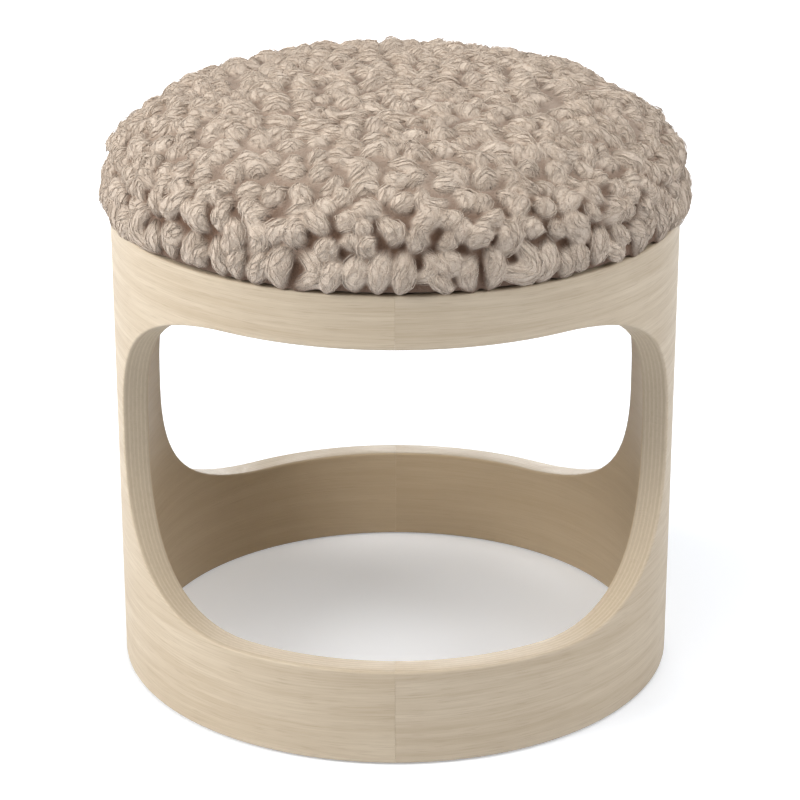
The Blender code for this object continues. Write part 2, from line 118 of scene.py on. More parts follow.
def grid_cells(rows: int, columns: int, closed: bool) -> tuple[np.ndarray, np.ndarray]:
    """Numbers the cells of a grid of points.

    Args:
        rows: How many points stand along the first direction.
        columns: How many stand along the second.
        closed: Whether the last column joins the first.

    Returns:
        The four point numbers of each cell, and the row and column of each corner.
    """
    across = columns if closed else columns - 1
    row, column = np.meshgrid(np.arange(rows - 1), np.arange(across), indexing="ij")
    row = row.ravel()
    column = column.ravel()
    corner_row = np.stack([row, row, row + 1, row + 1], axis=1)
    corner_column = np.stack([column, column + 1, column + 1, column], axis=1)
    faces = corner_row * columns + corner_column % columns
    return faces, np.stack([corner_row, corner_column], axis=-1).astype(float)


def grid_surface(points: np.ndarray, closed: bool, keep: np.ndarray | None = None) -> Surface:
    """Turns a grid of points into a surface.

    Args:
        points: The points, as rows x columns x 3.
        closed: Whether the last column joins the first.
        keep: Which cells stay, as rows - 1 x columns - 1, or None for all.

    Returns:
        The surface, with rows and columns as its texture coordinates.
    """
    faces, places = grid_cells(*points.shape[:2], closed)
    if keep is not None:
        faces = faces[keep.ravel()]
        places = places[keep.ravel()]
    return Surface(points.reshape(-1, 3), faces, places)


def joined(parts: list[Surface]) -> Surface:
    """Puts several surfaces without marks into one.

    Args:
        parts: The surfaces.

    Returns:
        One surface with all their points and faces.
    """
    starts = np.cumsum([0] + [len(part.points) for part in parts[:-1]])
    return Surface(
        np.concatenate([part.points for part in parts]),
        np.concatenate([part.faces + start for part, start in zip(parts, starts)]),
        np.concatenate([part.places for part in parts]),
    )


def mark_vertices(mesh: bpy.types.Mesh, name: str, values: np.ndarray) -> None:
    """Keeps a number, or a vector of three, at each vertex of a mesh."""
    kind, key = ("FLOAT_VECTOR", "vector") if values.ndim == 2 else ("FLOAT", "value")
    mesh.attributes.new(name, kind, "POINT").data.foreach_set(key, values.astype(np.float32).ravel())


def vertex_points(mesh: bpy.types.Mesh) -> np.ndarray:
    """Reads the vertices of a mesh.

    Args:
        mesh: The mesh.

    Returns:
        They, as an n x 3 array.
    """
    flat = np.zeros(len(mesh.vertices) * 3, dtype=np.float32)
    mesh.vertices.foreach_get("co", flat)
    return flat.reshape(-1, 3).astype(float)


def move_vertices(mesh: bpy.types.Mesh, points: np.ndarray) -> None:
    """Puts the vertices of a mesh where the n x 3 points are."""
    mesh.vertices.foreach_set("co", points.astype(np.float32).ravel())


def placed(name: str, data: bpy.types.ID) -> bpy.types.Object:
    """Puts a new object that holds the data into the scene.

    Args:
        name: Its name.
        data: A mesh, a camera or a lamp.

    Returns:
        The object.
    """
    held = bpy.data.objects.new(name, data)
    bpy.context.scene.collection.objects.link(held)
    return held


def applied(held: bpy.types.Object) -> bpy.types.Mesh:
    """Gives a new mesh, as the object's modifiers make it."""
    seen = held.evaluated_get(bpy.context.evaluated_depsgraph_get())
    return bpy.data.meshes.new_from_object(seen)


def remeshed(held: bpy.types.Object, voxel: float, soften: int = 0) -> None:
    """Replaces an object's mesh by an even one around its outside.

    Args:
        held: The object.
        voxel: The length of the new mesh's cells.
        soften: How many rounds it is softened.
    """
    shape = held.modifiers.new("even_mesh", "REMESH")
    shape.mode = "VOXEL"
    shape.voxel_size = voxel
    if soften:
        soft = held.modifiers.new("soften", "SMOOTH")
        soft.factor = 0.5
        soft.iterations = soften
    even = applied(held)
    held.modifiers.clear()
    held.data = even


def mesh_of(name: str, surface: Surface, crease: float, fill_holes: bool = False) -> bpy.types.Mesh:
    """Makes a Blender mesh of a surface, with its doubles merged and its faces outward.

    Args:
        name: The mesh's name.
        surface: The surface.
        crease: The angle in radians past which an edge is sharp.
        fill_holes: Whether open rims are closed with flat faces.

    Returns:
        The mesh.
    """
    mesh = bpy.data.meshes.new(name)
    count = len(surface.faces)
    mesh.vertices.add(len(surface.points))
    move_vertices(mesh, surface.points)
    mesh.loops.add(count * 4)
    mesh.loops.foreach_set("vertex_index", surface.faces.astype(np.int32).ravel())
    mesh.polygons.add(count)
    mesh.polygons.foreach_set("loop_start", np.arange(0, count * 4, 4, dtype=np.int32))
    mesh.update(calc_edges=True)
    layer = mesh.uv_layers.new(name="UVMap")
    layer.uv.foreach_set("vector", surface.places.astype(np.float32).ravel())
    for mark, values in surface.marks.items():
        mark_vertices(mesh, mark, values)
    work = bmesh.new()
    work.from_mesh(mesh)
    bmesh.ops.remove_doubles(work, verts=work.verts, dist=TINY / 2)
    loose = [vertex for vertex in work.verts if not vertex.link_faces]
    bmesh.ops.delete(work, geom=loose, context="VERTS")
    if fill_holes:
        rims = [edge for edge in work.edges if edge.is_boundary]
        bmesh.ops.holes_fill(work, edges=rims, sides=0)
    bmesh.ops.recalc_face_normals(work, faces=work.faces)
    work.to_mesh(mesh)
    work.free()
    mesh.polygons.foreach_set("use_smooth", np.ones(len(mesh.polygons), dtype=bool))
    mesh.set_sharp_from_angle(angle=crease)
    mesh.update()
    return mesh


def make_piece(
    name: str,
    mesh: bpy.types.Mesh,
    material: bpy.types.Material,
    replaced: tuple[str, ...] = (),
) -> bpy.types.Object:
    """Puts a mesh into the scene as a piece of the ottoman.

    Args:
        name: The piece's name.
        mesh: Its mesh, in place.
        material: Its finish.
        replaced: The CAD nodes that it stands for.

    Returns:
        The piece.
    """
    piece = placed(name, mesh)
    mesh.materials.clear()
    mesh.materials.append(material)
    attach(piece, BODY)
    if replaced:
        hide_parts(*replaced)
    log.info("%s: %d faces", name, len(mesh.polygons))
    return piece


def dress_node(node: str, material: bpy.types.Material) -> None:
    """Gives a carried-over CAD node its finish."""
    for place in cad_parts[node].material_slots:
        place.material = material
    log.info("%s: dressed", node)


def turned(radii: np.ndarray, heights: np.ndarray, place: np.ndarray, ring: bool = False) -> Surface:
    """Turns a profile about its axis, with a radius of its own at each angle.

    A point stands at radius x (cos angle, sin angle) and its height, then goes to its place.

    Args:
        radii: The radius at each station and angle, as stations x sides.
        heights: The height of each station.
        place: The 4 x 4 matrix that puts the axis where it belongs.
        ring: Whether the profile closes on itself, as a washer's does.

    Returns:
        The turned surface.
    """
    if ring:
        radii = np.concatenate([radii, radii[:1]])
        heights = np.concatenate([heights, heights[:1]])
    angle = np.linspace(0, FULL_TURN, radii.shape[1], endpoint=False)
    level = np.broadcast_to(heights[:, None], radii.shape)
    local = np.stack([radii * np.cos(angle), radii * np.sin(angle), level, np.ones(radii.shape)], axis=-1)
    return grid_surface((local @ place.T)[..., :3], closed=True)


def turned_upright(profile: np.ndarray, sides: int) -> Surface:
    """Turns a profile of points (radius, height) about the drum's axis."""
    return turned(np.repeat(profile[:, :1], sides, axis=1), profile[:, 1], np.eye(4))


def place_at(azimuth: float, out: float, aside: float, height: float, axis: str = "up") -> np.ndarray:
    """Gives the matrix of a place round the drum's axis.

    Args:
        azimuth: The angle round the axis, from +X, in radians.
        out: How far the place stands from the axis.
        aside: How far it stands to the left of that line.
        height: Its height.
        axis: up keeps the part's axis upright, outward lays it level, away from the drum's.

    Returns:
        The 4 x 4 matrix.
    """
    cos, sin = math.cos(azimuth), math.sin(azimuth)
    spin = np.array([[cos, -sin, 0, 0], [sin, cos, 0, 0], [0, 0, 1, 0], [0, 0, 0, 1.0]])
    move = np.eye(4)
    move[:3, 3] = (out, aside, height)
    if axis == "outward":
        move[:3, :3] = ((0, 0, 1), (0, 1, 0), (-1, 0, 0))
    return spin @ move


def crossed(lines: np.ndarray, outward: np.ndarray) -> tuple[np.ndarray, np.ndarray]:
    """Gives the directions across many lines and up from them.

    Args:
        lines: The lines, as lines x stations x 3.
        outward: Roughly which way is up, in the same shape.

    Returns:
        The unit vectors across and up, both square to the line.
    """
    ahead = np.gradient(lines, axis=1)
    ahead /= np.maximum(np.linalg.norm(ahead, axis=-1, keepdims=True), NO_LENGTH)
    across = np.cross(ahead, outward)
    across /= np.maximum(np.linalg.norm(across, axis=-1, keepdims=True), NO_LENGTH)
    return across, np.cross(across, ahead)


def bundle(points: np.ndarray) -> Surface:
    """Turns the points of many tubes into one surface.

    Args:
        points: The points, as tubes x stations x sides x 3.

    Returns:
        The surface.
    """
    count, stations, sides = points.shape[:3]
    faces, places = grid_cells(stations, sides, closed=True)
    starts = (np.arange(count) * stations * sides)[:, None, None]
    faces = (faces[None] + starts).reshape(-1, 4)
    return Surface(points.reshape(-1, 3), faces, np.tile(places, (count, 1, 1)))


def averaged(mesh: bpy.types.Mesh, values: np.ndarray, rounds: int) -> np.ndarray:
    """Evens out a number over a mesh: each round, a vertex takes its neighbours' mean.

    Args:
        mesh: The mesh.
        values: The number at each vertex.
        rounds: How many rounds.

    Returns:
        The evened numbers.
    """
    flat = np.zeros(len(mesh.edges) * 2, dtype=np.int32)
    mesh.edges.foreach_get("vertices", flat)
    first, second = flat.reshape(-1, 2).T
    size = len(mesh.vertices)
    hits = np.bincount(first, minlength=size) + np.bincount(second, minlength=size)
    for _ in range(rounds):
        total = np.bincount(first, values[second], size) + np.bincount(second, values[first], size)
        values = (values + total) / (1 + hits)
    return values


def smooth_step(values: np.ndarray, low: float, high: float) -> np.ndarray:
    """Rises from 0 at low to 1 at high along 3t^2 - 2t^3."""
    share = np.clip((values - low) / (high - low), 0, 1)
    return share * share * (3 - 2 * share)


class Bench:
    """Adds nodes to one node tree and joins them."""

    def __init__(self, tree: bpy.types.NodeTree) -> None:
        """Takes the tree to work on."""
        self.tree = tree

    def fill(self, node: bpy.types.Node, sockets: dict) -> bpy.types.Node:
        """Fills a node's inputs.

        Args:
            node: The node.
            sockets: What goes in, by name or number: a value or another node's output.

        Returns:
            The node.
        """
        for name, value in sockets.items():
            if isinstance(value, Socket):
                self.tree.links.new(value, node.inputs[name])
            else:
                node.inputs[name].default_value = value
        return node

    def add(self, kind: str, sockets: dict | None = None, **settings: object) -> bpy.types.Node:
        """Adds a node.

        Args:
            kind: The node's type, without its ShaderNode start.
            sockets: What goes into its inputs, by name or number: a value or another's output.
            settings: The node's own settings.

        Returns:
            The node.
        """
        node = self.tree.nodes.new(kind if kind.startswith("Node") else "ShaderNode" + kind)
        for name, value in settings.items():
            setattr(node, name, value)
        return self.fill(node, sockets or {})

    def here(self) -> Socket:
        """Gives each point's place in the piece's own coordinates."""
        return self.add("TexCoord").outputs["Object"]

    def calc(self, operation: str, *values: object) -> Socket:
        """Works out one number with a Math node."""
        return self.add("Math", dict(enumerate(values)), operation=operation).outputs[0]

    def times(self, value: object, factor: float) -> Socket:
        """Multiplies a value by a number."""
        return self.calc("MULTIPLY", value, factor)

    def scaled(self, vector: object, scale: tuple[float, float, float]) -> Socket:
        """Multiplies a vector by three numbers."""
        return self.add("VectorMath", {0: vector, 1: scale}, operation="MULTIPLY").outputs[0]

    def split(self, vector: object) -> bpy.types.NodeOutputs:
        """Gives the three parts of a vector."""
        return self.add("SeparateXYZ", {0: vector}).outputs

    def noise(self, vector: object, scale: object, detail: float = 2.0, rough: float = 0.5) -> Socket:
        """Gives a noise value from about 0.25 to 0.75."""
        sockets = {"Vector": vector, "Scale": scale, "Detail": detail, "Roughness": rough}
        return self.add("TexNoise", sockets).outputs["Fac"]

    def span(self, value: object, low: float, high: float, start: float = 0.0, end: float = 1.0) -> Socket:
        """Maps a value from low..high to start..end, held at both ends."""
        return self.add("MapRange", {0: value, 1: low, 2: high, 3: start, 4: end}).outputs[0]

    def layered(self, base: object, *layers: tuple[object, object]) -> Socket:
        """Lays colours over one another.

        Args:
            base: The lowest colour, or its socket.
            layers: For each colour, how much of it shows, from 0 to 1, and the colour or its
                socket.

        Returns:
            The mixed colour's socket.
        """
        for share, colour in layers:
            sockets = {0: share, 6: opaque(base), 7: opaque(colour)}
            base = self.add("Mix", sockets, data_type="RGBA").outputs[2]
        return base

    def bump(self, height: object, distance: float, strength: float = 0.8) -> Socket:
        """Gives the normal of a height that is worked in metres times distance."""
        sockets = {"Height": height, "Distance": distance, "Strength": strength}
        return self.add("Bump", sockets).outputs["Normal"]

    def group(self, tree: bpy.types.NodeTree, **sockets: object) -> bpy.types.NodeOutputs:
        """Places a shared node group and gives its outputs."""
        return self.add("Group", sockets, node_tree=tree).outputs


def opaque(colour: object) -> object:
    """Adds full alpha to a plain colour, and leaves a socket alone."""
    return colour if isinstance(colour, Socket) else (*colour, 1.0)


class GroupBench(Bench):
    """A bench on a new shared node group."""

    def __init__(self, name: str, **takes: float | None) -> None:
        """Starts the group.

        Args:
            name: Its name.
            takes: Its inputs with their first values, None for a vector.
        """
        super().__init__(bpy.data.node_groups.new(name, "ShaderNodeTree"))
        for title, value in takes.items():
            kind = "NodeSocketVector" if value is None else "NodeSocketFloat"
            made = self.tree.interface.new_socket(title, in_out="INPUT", socket_type=kind)
            if value is not None:
                made.default_value = value
        self.given = self.add("NodeGroupInput").outputs

    def finish(self, **gives: Socket) -> bpy.types.NodeTree:
        """Ends the group.

        Args:
            gives: Its outputs, all of them numbers.

        Returns:
            Its tree.
        """
        for title in gives:
            self.tree.interface.new_socket(title, in_out="OUTPUT", socket_type="NodeSocketFloat")
        self.add("NodeGroupOutput", gives)
        return self.tree


class SharedEffects:
    """The node groups that more than one finish uses, each built once, at its first use."""

    @cached_property
    def long_grain(self) -> bpy.types.NodeTree:
        """Wood grain that runs along the first axis of Place.

        Tone is noise stretched along the grain on a place that wanders sideways, Fine the same
        noise seven times finer, Pores the highest peaks of a finer one, and Figure the level
        lines of a broad noise, as cut growth rings are.

        Returns:
            The group.
        """
        bench = GroupBench("long_grain", Place=None, Length=0.16, Width=0.007, Wander=0.012)
        place = bench.given["Place"]
        drift = bench.noise(bench.scaled(place, (4.0, 40.0, 12.0)), 1.0, 1.0)
        shift = bench.calc("MULTIPLY", bench.calc("SUBTRACT", drift, 0.5), bench.given["Wander"])
        first, second, third = bench.split(place)
        along = bench.calc("DIVIDE", first, bench.given["Length"])
        across = bench.calc("DIVIDE", bench.calc("ADD", third, shift), bench.given["Width"])
        run = bench.add("CombineXYZ", {0: along, 1: bench.times(second, 60.0), 2: across}).outputs[0]
        peaks = bench.noise(bench.scaled(run, (9.0, 1.0, 11.0)), 1.0, 1.0)
        rings = bench.noise(bench.scaled(run, (0.35, 0.3, 0.16)), 1.0, 1.0)
        figure = bench.calc("PINGPONG", bench.times(rings, 9.0), 0.5)
        return bench.finish(
            Tone=bench.noise(run, 1.0, 3.0, 0.55),
            Fine=bench.noise(bench.scaled(run, (3.0, 1.0, 7.0)), 1.0, 2.0, 0.6),
            Pores=bench.span(peaks, 0.58, 0.72),
            Figure=bench.times(figure, 2.0),
        )

    @cached_property
    def ply_layers(self) -> bpy.types.NodeTree:
        """The glued layers on a cut edge of plywood.

        Layer is a shade of its own for each step of Depth, Cross is 1 on every second layer,
        and Glue is 1 on the thin line between two.

        Returns:
            The group.
        """
        bench = GroupBench("ply_layers", Depth=0.0, Thickness=0.0014, First=0.0007)
        inside = bench.calc("SUBTRACT", bench.given["Depth"], bench.given["First"])
        count = bench.calc("DIVIDE", inside, bench.given["Thickness"])
        number = bench.calc("FLOOR", count)
        edge = bench.calc("ABSOLUTE", bench.calc("SUBTRACT", bench.calc("FRACT", count), 0.5))
        return bench.finish(
            Layer=bench.add("TexWhiteNoise", {"W": number}, noise_dimensions="1D").outputs["Value"],
            Cross=bench.calc("PINGPONG", number, 1.0),
            Glue=bench.span(edge, 0.42, 0.5),
        )

    @cached_property
    def handling(self) -> bpy.types.NodeTree:
        """Slight unevenness of a used surface: Patch is broad and soft, Dust fine.

        Returns:
            The group.
        """
        bench = GroupBench("handling", Place=None, Scale=9.0)
        broad = bench.noise(bench.given["Place"], bench.given["Scale"], 3.0)
        fine = bench.noise(bench.given["Place"], 900.0, 2.0)
        return bench.finish(Patch=bench.span(broad, 0.3, 0.7), Dust=bench.span(fine, 0.35, 0.65))


EFFECTS = SharedEffects()


@dataclass(frozen=True)
class Finish:
    """What the finishes share: a name, and the way to their material."""

    name: str

    def inputs(self, bench: Bench) -> dict:
        """Adds the finish's nodes and gives the inputs of its shader, by name."""
        raise NotImplementedError

    def build(self) -> bpy.types.Material:
        """Builds the material.

        Returns:
            The material.
        """
        material = bpy.data.materials.new(self.name)
        material.use_nodes = True
        bench = Bench(material.node_tree)
        bench.fill(material.node_tree.nodes["Principled BSDF"], self.inputs(bench))
        return material


@dataclass(frozen=True)
class OakVeneer(Finish):
    """Pale oak veneer on bent plywood, under a clear matt lacquer."""

    pale: Colour = (0.640, 0.545, 0.415)
    deep: Colour = (0.500, 0.400, 0.280)
    pore: Colour = (0.330, 0.240, 0.155)
    patch: Colour = (0.70, 0.61, 0.48)
    core: Colour = (0.560, 0.470, 0.350)
    end_grain: Colour = (0.420, 0.335, 0.235)
    inner_face: Colour = (0.590, 0.455, 0.290)
    sheet_shift: float = 0.0
    veneer_depth: float = 0.0008
    veneer_blend: float = 0.0001
    layer: float = 0.00143
    wall: float = 0.0186

    def inputs(self, bench: Bench) -> dict:
        """Works from the unrolled place of each point: grain on the faces, layers on the edges.

        Args:
            bench: The bench on the material's nodes.

        Returns:
            The shader's inputs.
        """
        stored = bench.add("Attribute", attribute_name="unrolled").outputs["Vector"]
        move = bench.add("VectorMath", {0: stored, 1: (self.sheet_shift, 0, 0)}, operation="ADD")
        place = move.outputs[0]
        grain = bench.group(EFFECTS.long_grain, Place=place, Length=0.17, Width=0.0075, Wander=0.014)
        worn = bench.group(EFFECTS.handling, Place=place, Scale=7.0)
        depth = bench.split(place)[1]
        face = bench.layered(
            self.pale,
            (bench.span(grain["Tone"], 0.30, 0.72), self.deep),
            (bench.times(grain["Figure"], 0.22), self.deep),
            (bench.span(grain["Fine"], 0.40, 0.75, 0.0, 0.30), self.pore),
            (bench.times(grain["Pores"], 0.34), self.pore),
            (bench.times(worn["Patch"], 0.16), self.patch),
            (bench.span(depth, 0.4 * self.wall, 0.6 * self.wall, 0.0, 0.55), self.inner_face),
        )
        layers = bench.group(EFFECTS.ply_layers, Depth=depth, Thickness=self.layer, First=self.veneer_depth)
        fibres = bench.noise(bench.scaled(place, (260.0, 900.0, 260.0)), 1.0, 2.0)
        edge = bench.layered(
            self.core,
            (bench.times(layers["Cross"], 0.42), self.end_grain),
            (bench.span(layers["Layer"], 0.0, 1.0, 0.0, 0.22), self.pale),
            (bench.span(fibres, 0.45, 0.75, 0.0, 0.35), self.end_grain),
            (bench.times(layers["Glue"], 0.35), self.pore),
        )
        nearest = bench.calc("MINIMUM", depth, bench.calc("SUBTRACT", self.wall, depth))
        low = self.veneer_depth - self.veneer_blend
        is_edge = bench.span(nearest, low, self.veneer_depth + self.veneer_blend)
        relief = bench.calc("ADD", grain["Fine"], bench.times(grain["Pores"], -0.8))
        return {
            "Base Color": bench.layered(face, (is_edge, edge)),
            "Roughness": bench.span(grain["Fine"], 0.3, 0.7, 0.46, 0.60),
            "Specular IOR Level": 0.38,
            "Normal": bench.bump(relief, 0.00012),
        }


@dataclass(frozen=True)
class SawnWood(Finish):
    """Plain solid wood, its grain along one axis or round the drum."""

    pale: Colour
    deep: Colour
    round_drum: bool = False
    drum_reach: float = 0.17
    roughness: float = 0.62

    def inputs(self, bench: Bench) -> dict:
        """Lays the grain. Round the drum, it runs along the angle times the drum's reach.

        Args:
            bench: The bench on the material's nodes.

        Returns:
            The shader's inputs.
        """
        place = bench.here()
        if self.round_drum:
            x, y, height = bench.split(place)
            along = bench.times(bench.calc("ARCTAN2", y, x), self.drum_reach)
            square = bench.calc("ADD", bench.calc("MULTIPLY", x, x), bench.calc("MULTIPLY", y, y))
            place = bench.add("CombineXYZ", {0: along, 1: bench.calc("SQRT", square), 2: height}).outputs[0]
        grain = bench.group(EFFECTS.long_grain, Place=place, Length=0.09, Width=0.004, Wander=0.006)
        worn = bench.group(EFFECTS.handling, Place=place, Scale=25.0)
        tone = bench.layered(
            self.pale,
            (bench.span(grain["Tone"], 0.3, 0.7), self.deep),
            (bench.span(grain["Fine"], 0.45, 0.75, 0.0, 0.4), tuple(0.6 * part for part in self.deep)),
            (bench.times(worn["Dust"], 0.10), self.pale),
        )
        smooth, rough = self.roughness - 0.06, self.roughness + 0.08
        return {
            "Base Color": tone,
            "Roughness": bench.span(grain["Tone"], 0.3, 0.7, smooth, rough),
            "Normal": bench.bump(grain["Fine"], 0.0003, 0.7),
        }


@dataclass(frozen=True)
class FlatPlywood(Finish):
    """A flat plywood panel: grain on its faces, glued layers on its rim."""

    bottom: float
    thick: float
    layer: float = 0.0015
    pale: Colour = (0.560, 0.440, 0.290)
    deep: Colour = (0.430, 0.315, 0.190)
    knot: Colour = (0.230, 0.140, 0.075)
    dust: Colour = (0.6, 0.56, 0.5)

    def inputs(self, bench: Bench) -> dict:
        """Lays the grain on the faces and the layers by height on the rim.

        Args:
            bench: The bench on the material's nodes.

        Returns:
            The shader's inputs.
        """
        place = bench.here()
        turn = bench.add("Mapping", {"Vector": place, "Rotation": (QUARTER_TURN, 0, 0)}).outputs[0]
        grain = bench.group(EFFECTS.long_grain, Place=turn, Length=0.30, Width=0.012, Wander=0.05)
        worn = bench.group(EFFECTS.handling, Place=place, Scale=12.0)
        face = bench.layered(
            self.pale,
            (bench.span(grain["Tone"], 0.3, 0.7), self.deep),
            (bench.times(grain["Figure"], 0.35), self.deep),
            (bench.span(grain["Fine"], 0.45, 0.75, 0.0, 0.35), self.knot),
        )
        depth = bench.calc("SUBTRACT", bench.split(place)[2], self.bottom)
        layers = bench.group(EFFECTS.ply_layers, Depth=depth, Thickness=self.layer, First=0.0)
        edge = bench.layered(
            self.pale,
            (bench.times(layers["Cross"], 0.7), self.deep),
            (bench.times(layers["Glue"], 0.6), self.knot),
        )
        nearest = bench.calc("MINIMUM", depth, bench.calc("SUBTRACT", self.thick, depth))
        is_edge = bench.span(nearest, 0.0002, 0.0004)
        return {
            "Base Color": bench.layered(face, (is_edge, edge), (bench.times(worn["Dust"], 0.08), self.dust)),
            "Roughness": bench.span(worn["Patch"], 0.0, 1.0, 0.62, 0.78),
            "Normal": bench.bump(grain["Fine"], 0.0003, 0.6),
        }


@dataclass(frozen=True)
class PlatedSteel(Finish):
    """Zinc plated steel, with the fine scratches and spangle of small hardware."""

    bright: Colour
    dull: Colour

    def inputs(self, bench: Bench) -> dict:
        """Spreads the spangle and stretches a fine noise into scratches.

        Args:
            bench: The bench on the material's nodes.

        Returns:
            The shader's inputs.
        """
        place = bench.here()
        worn = bench.group(EFFECTS.handling, Place=place, Scale=260.0)
        scratch = bench.noise(bench.scaled(place, (300.0, 300.0, 3500.0)), 1.0, 2.0)
        return {
            "Base Color": bench.layered(self.bright, (worn["Patch"], self.dull)),
            "Roughness": bench.span(worn["Dust"], 0.0, 1.0, 0.26, 0.46),
            "Metallic": 1.0,
            "Normal": bench.bump(scratch, 0.00003, 0.6),
        }


@dataclass(frozen=True)
class CurlyWool(Finish):
    """Curly wool: matt and fluffy, pale on the crests, with painted shade that turns it brown down between
    the locks and deep in the pile.
    """

    light: Colour = (0.700, 0.598, 0.502)
    middle: Colour = (0.600, 0.505, 0.420)
    # shade: the darker fibres of the strand and crimp pattern, and the painted shade in the hollows between
    # the locks
    shade: Colour = (0.290, 0.186, 0.122)
    # root: painted shade, laid on the wool deep down in the pile
    root: Colour = (0.120, 0.062, 0.036)
    sheen: Colour = (0.95, 0.86, 0.78)

    def inputs(self, bench: Bench) -> dict:
        """Reads how deep and how hollow each point of the pile is, paints shade into the hollows and the
        depths from these, and adds the crimp.

        The crimp is two fine noises, the coarser one bent by itself so that it looks like
        wavy strands.

        Args:
            bench: The bench on the material's nodes.

        Returns:
            The shader's inputs.
        """
        depth = bench.add("Attribute", attribute_name="pile_depth").outputs["Fac"]
        hollow = bench.add("Attribute", attribute_name="pile_hollow").outputs["Fac"]
        place = bench.here()
        sockets = {"Vector": place, "Scale": 330.0, "Detail": 3.0, "Roughness": 0.62, "Distortion": 1.6}
        strands = bench.add("TexNoise", sockets).outputs["Fac"]
        crimp = bench.noise(place, 1100.0, 2.0, 0.6)
        colour = bench.layered(
            self.light,
            (bench.span(bench.noise(place, 38.0), 0.34, 0.66), self.middle),
            (bench.span(strands, 0.46, 0.74, 0.0, 0.40), self.shade),
            (bench.span(crimp, 0.50, 0.76, 0.0, 0.25), self.shade),
            # painted shade: the hollow mark darkens the hollows between the locks, and the depth mark
            # darkens the wool deep down in the pile
            (bench.span(hollow, 0.50, 0.82, 0.0, 0.84), self.shade),
            (bench.span(depth, 0.36, 0.72, 0.0, 0.90), self.root),
        )
        relief = bench.calc("ADD", bench.times(strands, 1.3), bench.times(crimp, 0.5))
        return {
            "Base Color": colour,
            "Roughness": bench.span(crimp, 0.3, 0.7, 0.88, 1.0),
            "Specular IOR Level": 0.10,
            "Sheen Weight": 0.12,
            "Sheen Roughness": 0.60,
            "Sheen Tint": opaque(self.sheen),
            "Normal": bench.bump(relief, 0.0012),
        }


@dataclass(frozen=True)
class KnittedBacking(Finish):
    """The knitted cloth that carries the pile, with the wool roots in it."""

    yarn: Colour = (0.200, 0.140, 0.100)
    hollow: Colour = (0.075, 0.050, 0.036)
    root: Colour = (0.30, 0.22, 0.165)

    def inputs(self, bench: Bench) -> dict:
        """Makes rows and columns of stitches from the cells of a fine pattern.

        Args:
            bench: The bench on the material's nodes.

        Returns:
            The shader's inputs.
        """
        place = bench.here()
        cells = bench.add("TexVoronoi", {"Vector": place, "Scale": 520.0}, feature="F1")
        loops = bench.span(cells.outputs["Distance"], 0.05, 0.65)
        roots = bench.noise(place, 240.0, 3.0, 0.6)
        rooted = bench.span(roots, 0.5, 0.7, 0.0, 0.5)
        return {
            "Base Color": bench.layered(self.yarn, (loops, self.hollow), (rooted, self.root)),
            "Roughness": 0.97,
            "Specular IOR Level": 0.1,
            "Normal": bench.bump(bench.calc("SUBTRACT", roots, loops), 0.0008),
        }


@dataclass(frozen=True)
class OpenFoam(Finish):
    """Open-cell upholstery foam."""

    skin: Colour = (0.780, 0.700, 0.460)
    cell: Colour = (0.520, 0.430, 0.240)
    aged: Colour = (0.70, 0.60, 0.35)

    def inputs(self, bench: Bench) -> dict:
        """Makes small round cells over broad, slightly aged patches.

        Args:
            bench: The bench on the material's nodes.

        Returns:
            The shader's inputs.
        """
        place = bench.here()
        fine = bench.add("TexVoronoi", {"Vector": place, "Scale": 900.0}).outputs["Distance"]
        open_cell = bench.span(fine, 0.15, 0.6)
        aged = bench.span(bench.noise(place, 60.0, 3.0), 0.4, 0.7, 0.0, 0.25)
        return {
            "Base Color": bench.layered(self.cell, (open_cell, self.skin), (aged, self.aged)),
            "Roughness": 0.95,
            "Normal": bench.bump(open_cell, 0.0005),
        }


@dataclass(frozen=True)
class Wadding(Finish):
    """Polyester wadding: white crimped fibre."""

    fibre: Colour = (0.820, 0.820, 0.800)
    shade: Colour = (0.600, 0.600, 0.580)

    def inputs(self, bench: Bench) -> dict:
        """Crosses two stretched noises, as tangled fibres cross.

        Args:
            bench: The bench on the material's nodes.

        Returns:
            The shader's inputs.
        """
        place = bench.here()
        first = bench.noise(bench.scaled(place, (900.0, 160.0, 400.0)), 1.0, 3.0, 0.65)
        second = bench.noise(bench.scaled(place, (160.0, 900.0, 400.0)), 1.0, 3.0, 0.65)
        tangle = bench.calc("MAXIMUM", first, second)
        return {
            "Base Color": bench.layered(self.shade, (bench.span(tangle, 0.4, 0.7), self.fibre)),
            "Roughness": 0.98,
            "Sheen Weight": 0.2,
            "Normal": bench.bump(tangle, 0.0012),
        }


@dataclass(frozen=True)
class DustCloth(Finish):
    """Thin black non-woven cloth with its pattern of heat-bonded points."""

    cloth: Colour = (0.028, 0.028, 0.030)
    bond: Colour = (0.010, 0.010, 0.011)
    lint: Colour = (0.06, 0.06, 0.062)

    def inputs(self, bench: Bench) -> dict:
        """Sets small bonded points on a 1.6 mm pitch, over loose fibre.

        Args:
            bench: The bench on the material's nodes.

        Returns:
            The shader's inputs.
        """
        place = bench.here()
        sockets = {"Vector": place, "Scale": 620.0, "Randomness": 0.15}
        bonded = bench.span(bench.add("TexVoronoi", sockets).outputs["Distance"], 0.22, 0.34, 1.0, 0.0)
        fibre = bench.noise(bench.scaled(place, (1200.0, 500.0, 800.0)), 1.0, 3.0)
        linted = bench.span(fibre, 0.5, 0.7, 0.0, 0.3)
        return {
            "Base Color": bench.layered(self.cloth, (bonded, self.bond), (linted, self.lint)),
            "Roughness": bench.span(bonded, 0.0, 1.0, 0.9, 0.6),
            "Normal": bench.bump(bench.calc("SUBTRACT", fibre, bonded), 0.0002),
        }


